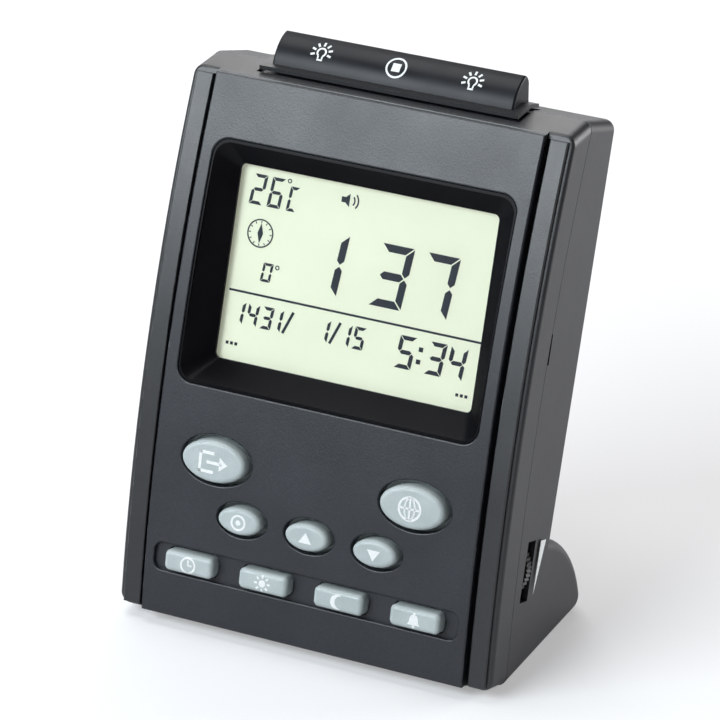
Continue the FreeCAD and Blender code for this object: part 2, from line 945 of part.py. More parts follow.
def rear_cavity():
    inner = half_width - wall
    face = rear_profile_face(-inner).makeOffset2D(-wall, 0, False, False, True)
    hollow = face.extrude(V(2 * inner, 0, 0))
    mouth = band(part_depth - wall, part_depth + 2 * wall, 0.0, face_length + wall, -inner, inner)
    mouth = mouth.common(block(-inner, inner, -far, far, wall, top_z - wall * 1.5))
    return joined([hollow, mouth])


def foot_angle(point):
    centre = foot_curve(0.0).Curve.Center
    return math.atan2(point.z - centre.z, point.y - centre.y)


def foot_radius():
    return foot_curve(0.0).Curve.Radius


def foot_at(angle, inset, x=0.0):
    centre = foot_curve(0.0).Curve.Center
    radius = foot_radius() - inset
    return V(x, centre.y + radius * math.cos(angle), centre.z + radius * math.sin(angle))


def door_angles():
    start = foot_angle(V(0, foot_start_y, foot_start_z))
    end = foot_angle(V(0, foot_end_y, foot_end_z))
    return start - door_start / foot_radius(), end + door_stop / foot_radius()


def foot_sector(angle_a, angle_b, inset_a, inset_b, half):
    # Slab that follows the foot's curve between two angles and two insets
    middle = (angle_a + angle_b) / 2
    a = foot_at(angle_a, inset_a, -half)
    b = foot_at(angle_b, inset_a, -half)
    c = foot_at(angle_b, inset_b, -half)
    d = foot_at(angle_a, inset_b, -half)
    edges = [
        Part.Arc(a, foot_at(middle, inset_a, -half), b).toShape(),
        line(b, c),
        Part.Arc(c, foot_at(middle, inset_b, -half), d).toShape(),
        line(d, a),
    ]
    return extrude_x(edges, half)


def door_pivot():
    return foot_at(door_angles()[1], wall / 2)


def rod_x(radius, x_a, x_b, y, z):
    return Part.makeCylinder(radius, x_b - x_a, V(x_a, y, z), V(1, 0, 0))


def battery_door():
    high, low = door_angles()
    body = foot_sector(high, low, 0.0, wall, door_half_width)
    pivot = door_pivot()
    knuckle = rod_x(wall / 2, -door_half_width, door_half_width, pivot.y, pivot.z)
    reach = door_half_width + door_pin_length
    pin = rod_x(door_pin_radius, -reach, reach, pivot.y, pivot.z)
    return joined([body, knuckle, pin])


def bar_recess():
    # Space under the skirt, from the front part of the top face over the rear slope
    half = skirt_half_length + bar_guide_gap * 2
    floor = bar_travel + bar_floor_gap - skirt_rise
    front = skirt_front_y - bar_guide_gap * 2
    back = skirt_back_y + bar_guide_gap * 2
    drop = math.tan(math.radians(rear_slope)) * (back - part_top.y)
    points = [
        V(-half, front, top_z - floor),
        V(-half, part_top.y, top_z - floor),
        V(-half, back, top_z - floor - drop),
        V(-half, back, top_z + wall),
        V(-half, front, top_z + wall),
    ]
    return Part.Face(Part.makePolygon(points + points[:1])).extrude(V(2 * half, 0, 0))


def rear_shell():
    body = rear_solid().cut(rear_cavity())
    inner_solid = rear_solid()
    keep = band(part_depth + part_gap, far / 2, -wall, face_length + wall, -far, far)
    additions = []
    for x, v, frame, depth in case_posts():
        post = placed(disc(case_post_radius, -far / 2, far / 8, x, v), frame)
        additions.append(post.common(keep).common(inner_solid))
    # Seat ring for the speaker and shelf for the bar's switch
    ring = disc(speaker_radius + seat_ring_width, -far / 4, speaker_seat(), 0.0, speaker_v)
    ring = ring.cut(disc(speaker_radius - seat_ring_width, -far / 2, far / 2, 0.0, speaker_v))
    additions.append(placed(ring, display).common(inner_solid))
    shelf = block(-stop_board_size[0] / 2 - 1, stop_board_size[0] / 2 + 1,
                  stem_y - stop_board_size[1] / 2, far / 2, shelf_top() - shelf_thickness, shelf_top())
    additions.append(shelf.common(inner_solid))
    body = joined([body] + additions)
    cuts = [bar_recess()]
    for x, v, frame, depth in case_posts():
        well = disc(screw_head_radius + screw_hole_gap, -far / 2, -depth - case_post_seat, x, v)
        cuts.append(placed(well, frame))
        hole = disc(screw_shank_radius + screw_hole_gap, -far / 2, far / 8, x, v)
        cuts.append(placed(hole, frame))
    for i in range(grille_rows):
        offset = (i - (grille_rows - 1) / 2) * grille_pitch
        length = 2 * math.sqrt(grille_radius ** 2 - offset ** 2)
        slot = rounded_slab(length, grille_slot, grille_slot / 2 - 0.01, -far / 4, speaker_seat(),
                            0.0, speaker_v + offset)
        cuts.append(placed(slot, display))
    # Slot for the volume wheel, guide holes for the stems and a notch to pry the halves apart
    slot = Part.makeBox(2 * wall, wheel_slot_length, wheel_slot_width,
                        V(half_width - 1.5 * wall, wheel_v - wheel_slot_length / 2,
                          -wheel_depth - wheel_slot_width / 2))
    cuts.append(placed(slot, display))
    for x, size in ((-stem_x, stem_size), (stem_x, stem_size), (0.0, plunger_size)):
        cuts.append(block(x - size[0] / 2 - bar_guide_gap, x + size[0] / 2 + bar_guide_gap,
                          stem_y - size[1] / 2 - bar_guide_gap, stem_y + size[1] / 2 + bar_guide_gap,
                          top_z - 4 * wall, far))
    notch_depth = part_line_depth(part_notch_v)
    notch = Part.makeBox(wall, part_notch_length, part_notch_width,
                         V(half_width - wall / 2, part_notch_v - part_notch_length / 2,
                           -notch_depth - part_notch_width))
    cuts.append(placed(notch, display))
    # Opening of the battery bay with seats for the door's pins
    high, low = door_angles()
    pivot = door_pivot()
    gap_angle = door_gap / foot_radius()
    cuts.append(foot_sector(high + gap_angle, low, -wall, 2 * wall, door_half_width + door_gap))
    reach = door_half_width + door_gap
    cuts.append(rod_x(wall / 2 + door_swing_gap, -reach, reach, pivot.y, pivot.z))
    pin_reach = door_half_width + door_pin_length + door_gap
    cuts.append(rod_x(door_pin_radius + shaft_clearance, -pin_reach, pin_reach, pivot.y, pivot.z))
    return body.cut(cuts)


def rear_face_depth(v):
    # Depth of the rear wall's inner face in the display frame
    lean = math.radians(display_lean)
    top, low = rear_face_line()
    slope = (top.y - low.y) / (top.z - low.z)
    start_y = display_y + v * math.sin(lean)
    start_z = display_z + v * math.cos(lean)
    face_y = low.y + slope * (start_z - low.z)
    depth = (face_y - start_y) / (math.cos(lean) + slope * math.sin(lean))
    return depth - wall


def speaker_seat():
    high = rear_face_depth(speaker_v + speaker_radius)
    low = rear_face_depth(speaker_v - speaker_radius)
    return -(min(high, low) - 1.0)


def speaker_frame():
    seat = speaker_seat() + speaker_seat_gap
    rim = disc(speaker_radius, seat, seat + speaker_rim, 0.0, speaker_v)
    cup_top = seat + speaker_depth - magnet_height
    cup = Part.makeCone(cone_radius + cup_wall, magnet_radius + cup_margin, cup_top - seat - speaker_rim,
                        V(0, speaker_v, seat + speaker_rim))
    inner = Part.makeCone(cone_radius, magnet_radius, cup_top - seat - speaker_rim,
                          V(0, speaker_v, seat + speaker_rim - cup_wall))
    hole = disc(cone_radius, seat - 1, seat + speaker_rim, 0.0, speaker_v)
    floor = disc(magnet_radius + cup_margin, cup_top - cup_wall, cup_top, 0.0, speaker_v)
    return placed(joined([rim, cup]).cut([hole, inner]).fuse(floor).removeSplitter(), display)


def speaker_magnet():
    seat = speaker_seat() + speaker_seat_gap
    top = seat + speaker_depth - magnet_height
    return placed(disc(magnet_radius, top, top + magnet_height, 0.0, speaker_v), display)


def speaker_cone():
    seat = speaker_seat() + speaker_seat_gap
    low = seat + cone_edge_rise
    fall = cone_depth - dome_room
    outer = Part.makeCone(cone_radius - cone_edge_gap, cone_inner_radius, fall, V(0, speaker_v, low))
    inner = Part.makeCone(cone_radius - cone_edge_gap, cone_inner_radius, fall,
                          V(0, speaker_v, low - cone_thickness))
    dome = Part.makeSphere(dome_radius, V(0, speaker_v, low + fall + dome_centre_rise))
    dome = dome.common(disc(cone_inner_radius, low, low + fall + dome_edge_rise, 0.0, speaker_v))
    return placed(joined([outer.cut(inner), dome]), display)


def bar_base_points():
    # The skirt's upper face: level in front of the part line, sloping behind it
    level = top_z + skirt_rise + skirt_thickness
    drop = math.tan(math.radians(rear_slope))
    return level, drop


def stop_bar():
    level, drop = bar_base_points()
    x = -bar_half_length
    front = V(x, bar_front_y, level)
    shoulder = V(x, bar_shoulder_y, level + bar_shoulder_height)
    crown = V(x, bar_crown_y, level + bar_height)
    back_top = V(x, bar_back_y, level + bar_height - (bar_back_y - bar_crown_y) * bar_back_fall)
    back_bend = V(x, bar_crown_y + (bar_back_y - bar_crown_y) * bar_bend_run,
                  level + bar_height * bar_bend_rise)
    back = V(x, bar_back_y, level - drop * (bar_back_y - part_top.y))
    bend = V(x, part_top.y, level)
    edges = [
        Part.Arc(front, shoulder, crown).toShape(),
        Part.Arc(crown, back_bend, back_top).toShape(),
        line(back_top, back),
        line(back, bend),
        line(bend, front),
    ]
    body = extrude_x(edges, bar_half_length)

    def is_end_rim(edge):
        box = edge.BoundBox
        return box.XLength < 0.01 and box.ZMax > level + 0.5

    body = body.makeFillet(bar_end_round, edges_where(body, is_end_rim))
    half = bar_half_length - bar_wall
    room = block(-half, half, bar_front_y + bar_front_room, bar_back_y - bar_wall,
                 level - wall, level + bar_height - bar_roof_room)
    shape = narrower_bar(edges, half)
    return body.cut(room.common(shape))


def narrower_bar(edges, half):
    # The bar's section shrunk by its wall, as a prism
    moved = []
    for edge in edges:
        copy = edge.copy()
        copy.translate(V(bar_half_length - half, 0, 0))
        moved.append(copy)
    face = Part.Face(Part.Wire(moved)).makeOffset2D(-bar_wall, 0, False, False, True)
    prism = face.extrude(V(2 * half, 0, 0))
    down = face.copy()
    down.translate(V(0, 0, -2 * bar_wall))
    return joined([prism, down.extrude(V(2 * half, 0, 0))])


def bar_skirt():
    level, drop = bar_base_points()
    half = skirt_half_length
    low = level - skirt_thickness
    fall = drop * (skirt_back_y - part_top.y)
    points = [
        V(-half, skirt_front_y, low),
        V(-half, skirt_front_y, level),
        V(-half, part_top.y, level),
        V(-half, skirt_back_y, level - fall),
        V(-half, skirt_back_y, low - fall),
        V(-half, part_top.y, low),
    ]
    plate = Part.Face(Part.makePolygon(points + points[:1])).extrude(V(2 * half, 0, 0))
    pieces = [plate]
    hook_top = wall_underside(stem_y + stem_size[1] / 2) - hook_gap
    for x, size in ((-stem_x, stem_size), (stem_x, stem_size), (0.0, plunger_size)):
        y_a = stem_y - size[1] / 2
        y_b = stem_y + size[1] / 2
        pieces.append(block(x - size[0] / 2, x + size[0] / 2, y_a, y_b, stem_bottom_z,
                            low - drop * (y_b - part_top.y) + skirt_thickness / 2))
    for side in (-1, 1):
        reach = side * (stem_x + stem_size[0] / 2 + hook_reach)
        inner = side * stem_x
        pieces.append(block(min(reach, inner), max(reach, inner), stem_y - stem_size[1] / 2,
                            stem_y + stem_size[1] / 2, hook_top - hook_height, hook_top))
    return joined(pieces)


def wall_underside(y):
    slope = math.radians(rear_slope)
    return top_z - math.tan(slope) * (y - part_top.y) - wall / math.cos(slope)


def shelf_top():
    return (stem_bottom_z - bar_travel - bar_floor_gap - switch_button_height
            - stop_switch_height - stop_board_thickness)


def stop_switch_board():
    z = shelf_top()
    return block(-stop_board_size[0] / 2, stop_board_size[0] / 2, stem_y - stop_board_size[1] / 2,
                 stem_y + stop_board_size[1] / 2, z, z + stop_board_thickness)


def stop_switch():
    z = shelf_top() + stop_board_thickness
    half = stop_switch_size / 2
    body = block(-half, half, stem_y - half, stem_y + half, z, z + stop_switch_height)
    button = disc(switch_button_radius, z + stop_switch_height,
                  z + stop_switch_height + switch_button_height, 0.0, stem_y)
    return joined([body, button])


def wheel_centre_x():
    return half_width + wheel_proud - wheel_radius


def volume_wheel():
    points = []
    for i in range(2 * wheel_teeth):
        angle = math.pi * i / wheel_teeth
        radius = wheel_radius - (i % 2) * wheel_tooth_depth
        points.append(V(wheel_centre_x() + radius * math.cos(angle), wheel_v + radius * math.sin(angle),
                        -wheel_depth - wheel_thickness / 2))
    rim = Part.Face(Part.makePolygon(points + points[:1]))
    body = rim.extrude(V(0, 0, wheel_thickness))
    bore = disc(wheel_shaft_radius, -far / 2, far / 2, wheel_centre_x(), wheel_v)
    return placed(body.cut(bore), display)


def volume_shaft():
    top = -board_back
    low = -wheel_depth - wheel_thickness / 2 - 0.6
    stem = disc(wheel_shaft_radius, low, top, wheel_centre_x(), wheel_v)
    return placed(stem, display)


def volume_control():
    # Body of the potentiometer, on the board behind the wheel's shaft
    top = -board_back
    low = -wheel_depth + wheel_thickness / 2 + stack_gap * 2
    body = disc(pot_radius, low, top, wheel_centre_x(), wheel_v)
    bore = disc(wheel_shaft_radius + shaft_clearance, -far / 2, far / 2, wheel_centre_x(), wheel_v)
    return placed(body.cut(bore), display)


def cell_spots():
    return [cell_rear, cell_front]


def tray_length():
    return cell_length + cell_cap_height + 2 * contact_space


def tray_left():
    return cell_x - tray_length() / 2


def stadium(radius, x_a, x_b):
    # Prism round both cells: two rods and the slab between them
    (y_a, z_a), (y_b, z_b) = cell_spots()
    length = math.hypot(y_b - y_a, z_b - z_a)
    tilt = math.degrees(math.atan2(z_b - z_a, y_b - y_a))
    link = Part.makeBox(x_b - x_a, length, 2 * radius, V(x_a, 0, -radius))
    link.Placement = FreeCAD.Placement(V(0, y_a, z_a), FreeCAD.Rotation(V(1, 0, 0), tilt))
    return joined([rod_x(radius, x_a, x_b, y_a, z_a), rod_x(radius, x_a, x_b, y_b, z_b), link])


def battery_tray():
    x_a = tray_left()
    x_b = x_a + tray_length()
    outer = stadium(cell_radius + cell_gap + tray_wall, x_a - tray_wall, x_b + tray_wall)
    inner = stadium(cell_radius + cell_gap, x_a, x_b)
    (y_a, z_a), (y_b, z_b) = cell_spots()
    tilt = math.degrees(math.atan2(z_b - z_a, y_b - y_a))
    mouth = Part.makeBox(x_b - x_a, 2 * far, far, V(x_a, -far, -far))
    mouth.Placement = FreeCAD.Placement(V(0, y_a, z_a), FreeCAD.Rotation(V(1, 0, 0), tilt))
    body = outer.cut([inner, mouth])
    return body.common(rear_cavity())


def battery_cell(y, z, flip):
    can = rod_x(cell_radius, 0, cell_length, 0, 0)
    rims = edges_where(can, lambda e: e.Closed)
    can = can.makeFillet(0.8, rims)
    cap = rod_x(cell_cap_radius, cell_length, cell_length + cell_cap_height, 0, 0)
    cell = joined([can, cap])
    start = tray_left() + contact_space
    if flip:
        cell = cell.mirror(V(0, 0, 0), V(1, 0, 0))
        start = start + cell_length + cell_cap_height
    cell.translate(V(start, y, z))
    return cell


def battery_contacts():
    plates = []
    for i, (y, z) in enumerate(cell_spots()):
        size = cell_radius * 1.3
        for x in (tray_left(), tray_left() + tray_length() - contact_thickness):
            plates.append(block(x, x + contact_thickness, y - size / 2, y + size / 2,
                                z - size / 2, z + size / 2))
    return Part.makeCompound(plates)


def spring(x_a, x_b, y, z):
    height = abs(x_b - x_a) - 2 * spring_wire
    helix = Part.makeHelix(height / spring_turns, height, spring_radius)
    ring = Part.Wire(Part.makeCircle(spring_wire, V(spring_radius, 0, 0), V(0, 1, 0)))
    coil = Part.Wire(helix).makePipeShell([ring], True, True)
    side = 1 if x_b > x_a else -1
    coil.Placement = FreeCAD.Placement(V(x_a + side * spring_wire, y, z),
                                       FreeCAD.Rotation(V(0, 1, 0), 90 * side))
    return coil


def battery_springs():
    left = tray_left() + contact_thickness
    right = tray_left() + tray_length() - contact_thickness
    rear = spring(left, left + contact_space - contact_thickness, *cell_rear)
    front = spring(right, right - contact_space + contact_thickness, *cell_front)
    return Part.makeCompound([rear, front])


def build():
    parts = {
        "front_shell": front_shell(),
        "rear_shell": rear_shell(),
        "fascia_panel": fascia_panel(),
        "lcd_bezel": lcd_bezel(),
        "display_window": display_window(),
        "lcd_front_glass": lcd_front_glass(),
        "lcd_rear_glass": lcd_rear_glass(),
        "lcd_backlight": lcd_backlight(),
        "lcd_holder": lcd_holder(),
        "zebra_strip": zebra_strip(),
        "backlight_lamps": backlight_lamps(),
        "main_board": main_board(),
        "main_chip": main_chip(),
        "voice_chip": voice_chip(),
        "clock_crystal": clock_crystal(),
        "capacitors": capacitors(),
        "thermistor": thermistor(),
        "key_board": key_board(),
        "key_switches": key_switches(),
        "stop_bar": stop_bar(),
        "bar_skirt": bar_skirt(),
        "stop_switch": stop_switch(),
        "stop_switch_board": stop_switch_board(),
        "volume_wheel": volume_wheel(),
        "volume_shaft": volume_shaft(),
        "volume_control": volume_control(),
        "speaker_frame": speaker_frame(),
        "speaker_magnet": speaker_magnet(),
        "speaker_cone": speaker_cone(),
        "battery_tray": battery_tray(),
        "battery_cell_rear": battery_cell(cell_rear[0], cell_rear[1], False),
        "battery_cell_front": battery_cell(cell_front[0], cell_front[1], True),
        "battery_contacts": battery_contacts(),
        "battery_springs": battery_springs(),
        "battery_door": battery_door(),
        "case_screws": case_screws(),
        "board_screws": board_screws(),
        "key_board_screws": key_board_screws(),
        "panel_screws": panel_screws(),
    }
    for name, x, v, size in oval_keys():
        parts[name] = oval_key(x, v, size)
    for name, x, v, size in bar_keys():
        parts[name] = bar_key_solid(x, v, size)
    return parts


def main():
    os.makedirs("parts", exist_ok=True)
    parts = build()
    case = parts["front_shell"].optimalBoundingBox(False)
    case.add(parts["rear_shell"].optimalBoundingBox(False))
    case.add(parts["fascia_panel"].optimalBoundingBox(False))
    shift = V(0, -(case.YMin + case.YMax) / 2, 0)
    for name, shape in parts.items():
        shape.translate(shift)
        shape.exportStep(os.path.join("parts", name + ".step"))
        box = shape.BoundBox
        print("%-20s solids %2d valid %s volume %9.1f  x %6.1f %6.1f  y %6.1f %6.1f  z %6.1f %6.1f" % (
            name, len(shape.Solids), shape.isValid(), shape.Volume,
            box.XMin, box.XMax, box.YMin, box.YMax, box.ZMin, box.ZMax))
    pivot = door_pivot() + shift
    wheel = placed(Part.Vertex(V(wheel_centre_x(), wheel_v, -wheel_depth)), display).Point + shift
    print("shift y %.4f" % shift.y)
    print("door pivot y %.4f z %.4f" % (pivot.y, pivot.z))
    print("wheel axis x %.4f y %.4f z %.4f" % (wheel.x, wheel.y, wheel.z))
    print("key push direction y %.6f z %.6f" % (math.cos(math.radians(key_lean)),
                                               -math.sin(math.radians(key_lean))))


main()
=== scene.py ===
import json
import math

import bmesh
import bpy
from mathutils import Matrix, Vector
from mathutils.bvhtree import BVHTree


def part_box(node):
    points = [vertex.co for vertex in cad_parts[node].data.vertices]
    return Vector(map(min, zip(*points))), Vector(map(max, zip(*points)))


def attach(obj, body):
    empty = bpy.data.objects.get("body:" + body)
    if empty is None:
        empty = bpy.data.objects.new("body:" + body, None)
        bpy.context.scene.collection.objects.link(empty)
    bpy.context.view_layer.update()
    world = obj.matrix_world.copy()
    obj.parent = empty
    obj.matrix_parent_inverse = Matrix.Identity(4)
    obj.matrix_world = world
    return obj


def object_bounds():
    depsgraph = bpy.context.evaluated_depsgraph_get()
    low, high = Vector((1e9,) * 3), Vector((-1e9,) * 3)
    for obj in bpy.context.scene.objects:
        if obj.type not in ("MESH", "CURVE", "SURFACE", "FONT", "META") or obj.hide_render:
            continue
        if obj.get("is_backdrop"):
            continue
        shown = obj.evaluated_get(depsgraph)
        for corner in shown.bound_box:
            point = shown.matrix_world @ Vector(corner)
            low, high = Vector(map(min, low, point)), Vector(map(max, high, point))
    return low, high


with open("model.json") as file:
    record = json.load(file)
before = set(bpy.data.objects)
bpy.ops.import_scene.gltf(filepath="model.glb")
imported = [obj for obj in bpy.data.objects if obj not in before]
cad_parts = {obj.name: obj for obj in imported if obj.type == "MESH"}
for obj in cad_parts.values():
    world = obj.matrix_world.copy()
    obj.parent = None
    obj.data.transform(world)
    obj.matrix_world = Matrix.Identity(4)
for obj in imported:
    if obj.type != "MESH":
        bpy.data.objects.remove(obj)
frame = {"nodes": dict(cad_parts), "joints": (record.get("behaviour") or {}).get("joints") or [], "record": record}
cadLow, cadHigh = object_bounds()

mm = 0.001
rayStart = 20 * mm  # how far off a surface the rays begin that lay a mark on it
print("frame loaded:", len(frame["nodes"]), "nodes")


# Directions that the joints already hold

def jointAxis(name):
    joint = next(j for j in frame["joints"] if j["name"] == name)
    return Vector(joint["axis"]).normalized()


def facing(normal):
    # A flat frame of the object: right, up along the face, and out of it
    right = Vector((1, 0, 0))
    return {"right": right, "up": normal.cross(right), "out": normal}


displayFace = facing(jointAxis("volume_wheel_turn"))
keyFace = facing(-jointAxis("key_exit_press"))
sideFace = {"right": Vector((0, 1, 0)), "up": Vector((0, 0, 1)), "out": Vector((1, 0, 0))}


# Node helpers for materials

bumpDepth = {
    "wave": 0.2 * mm, "smear": 0.1 * mm, "grain": 0.05 * mm, "streak": 0.03 * mm, "fine": 0.02 * mm,
}
fleckTones = ((0.45, 0.45, 0.45), (1.5, 1.5, 1.5))
streakRough = {"smoother": 0.06, "duller": 0.08, "bump": 0.2}


def linkTo(tree, source, socket):
    tree.links.new(source, socket)


def objectNoise(tree, scale, detail=3.0, roughness=0.55, stretch=(1, 1, 1)):
    coords = tree.nodes.new("ShaderNodeTexCoord")
    mapping = tree.nodes.new("ShaderNodeMapping")
    mapping.inputs["Scale"].default_value = stretch
    noise = tree.nodes.new("ShaderNodeTexNoise")
    noise.inputs["Scale"].default_value = scale
    noise.inputs["Detail"].default_value = detail
    noise.inputs["Roughness"].default_value = roughness
    linkTo(tree, coords.outputs["Object"], mapping.inputs["Vector"])
    linkTo(tree, mapping.outputs["Vector"], noise.inputs["Vector"])
    return noise.outputs["Fac"]


def spread(tree, value, low, high, fromLow=0.3, fromHigh=0.7):
    node = tree.nodes.new("ShaderNodeMapRange")
    node.inputs["From Min"].default_value = fromLow
    node.inputs["From Max"].default_value = fromHigh
    node.inputs["To Min"].default_value = low
    node.inputs["To Max"].default_value = high
    linkTo(tree, value, node.inputs["Value"])
    return node.outputs["Result"]


def blendColours(tree, factor, first, second):
    node = tree.nodes.new("ShaderNodeMix")
    node.data_type = "RGBA"
    node.inputs["A"].default_value = (*first, 1)
    node.inputs["B"].default_value = (*second, 1)
    linkTo(tree, factor, node.inputs["Factor"])
    return next(s for s in node.outputs if s.type == "RGBA")


def bumpFrom(tree, height, strength, distance, under=None):
    node = tree.nodes.new("ShaderNodeBump")
    node.inputs["Strength"].default_value = strength
    node.inputs["Distance"].default_value = distance
    linkTo(tree, height, node.inputs["Height"])
    if under is not None:
        linkTo(tree, under, node.inputs["Normal"])
    return node.outputs["Normal"]


def newMaterial(name):
    material = bpy.data.materials.new(name)
    material.use_nodes = True
    shader = material.node_tree.nodes["Principled BSDF"]
    return material, material.node_tree, shader


def moulded(name, look):
    # Moulded plastic: cloudy colour, spark eroded grain and faint flow waves
    material, tree, shader = newMaterial(name)
    cloud = objectNoise(tree, look["cloudScale"], 4)
    speck = objectNoise(tree, look["grainScale"], 2, 0.6)
    tone = spread(tree, cloud, 0, 1)
    base = blendColours(tree, tone, look["dark"], look["light"])
    fleck = tree.nodes.new("ShaderNodeMix")
    fleck.data_type = "RGBA"
    fleck.blend_type = "MULTIPLY"
    fleck.inputs["Factor"].default_value = look["fleck"]
    linkTo(tree, base, fleck.inputs["A"])
    shade = blendColours(tree, spread(tree, speck, 0, 1), *fleckTones)
    linkTo(tree, shade, fleck.inputs["B"])
    linkTo(tree, next(s for s in fleck.outputs if s.type == "RGBA"), shader.inputs["Base Color"])
    middle, vary = look["roughness"], look["roughVary"]
    linkTo(tree, spread(tree, cloud, middle - vary, middle + vary), shader.inputs["Roughness"])
    wave = bumpFrom(tree, cloud, look["waveBump"], bumpDepth["wave"])
    grain = bumpFrom(tree, speck, look["grainBump"], bumpDepth["grain"], wave)
    linkTo(tree, grain, shader.inputs["Normal"])
    shader.inputs["Specular IOR Level"].default_value = look.get("specular", 0.5)
    return material


def metal(name, look):
    # Drawn or turned metal, with streaks along one axis
    material, tree, shader = newMaterial(name)
    streak = objectNoise(tree, look["scale"], 4, 0.6, look["stretch"])
    base = blendColours(tree, spread(tree, streak, 0, 1), look["dark"], look["light"])
    linkTo(tree, base, shader.inputs["Base Color"])
    smooth = look["roughness"] - streakRough["smoother"]
    dull = look["roughness"] + streakRough["duller"]
    linkTo(tree, spread(tree, streak, smooth, dull), shader.inputs["Roughness"])
    relief = bumpFrom(tree, streak, streakRough["bump"], bumpDepth["streak"])
    linkTo(tree, relief, shader.inputs["Normal"])
    shader.inputs["Metallic"].default_value = 1.0
    return material


def clearPane(name, look):
    # Clear sheet that lets the light through and shines more as it is seen edge on
    material = bpy.data.materials.new(name)
    material.use_nodes = True
    tree = material.node_tree
    tree.nodes.remove(tree.nodes["Principled BSDF"])
    out = tree.nodes["Material Output"]
    seen = tree.nodes.new("ShaderNodeBsdfTransparent")
    seen.inputs["Color"].default_value = (*look["tint"], 1)
    shine = tree.nodes.new("ShaderNodeBsdfGlossy")
    shine.inputs["Roughness"].default_value = look["roughness"]
    smear = objectNoise(tree, look["smearScale"], 3)
    relief = bumpFrom(tree, smear, look["smearBump"], bumpDepth["smear"])
    linkTo(tree, relief, shine.inputs["Normal"])
    edge = tree.nodes.new("ShaderNodeFresnel")
    edge.inputs["IOR"].default_value = look["ior"]
    mix = tree.nodes.new("ShaderNodeMixShader")
    linkTo(tree, edge.outputs["Fac"], mix.inputs["Fac"])
    linkTo(tree, seen.outputs["BSDF"], mix.inputs[1])
    linkTo(tree, shine.outputs["BSDF"], mix.inputs[2])
    linkTo(tree, mix.outputs["Shader"], out.inputs["Surface"])
    return material


def screenGlass(name, look):
    # Pale display glass with a painted glow: its emission brightens it, though no lamp behind it is lit
    material, tree, shader = newMaterial(name)
    cloud = objectNoise(tree, look["cloudScale"], 2)
    base = blendColours(tree, spread(tree, cloud, 0, 1), look["dark"], look["light"])
    linkTo(tree, base, shader.inputs["Base Color"])
    # Painted glow: the glass emits its own pale colour in place of light that the recessed display would get
    linkTo(tree, base, shader.inputs["Emission Color"])
    shader.inputs["Emission Strength"].default_value = look["glow"]
    speck = objectNoise(tree, look["grainScale"], 2)
    linkTo(tree, spread(tree, speck, *look["roughness"]), shader.inputs["Roughness"])
    relief = bumpFrom(tree, speck, look["bump"], bumpDepth["fine"])
    linkTo(tree, relief, shader.inputs["Normal"])
    return material


def ink(name, look):
    # A printed layer, or a display segment that is on
    material, tree, shader = newMaterial(name)
    speck = objectNoise(tree, look["grainScale"], 3)
    base = blendColours(tree, spread(tree, speck, 0, 1), look["dark"], look["light"])
    linkTo(tree, base, shader.inputs["Base Color"])
    linkTo(tree, spread(tree, speck, *look["roughness"]), shader.inputs["Roughness"])
    relief = bumpFrom(tree, speck, look["bump"], bumpDepth["fine"])
    linkTo(tree, relief, shader.inputs["Normal"])
    return material


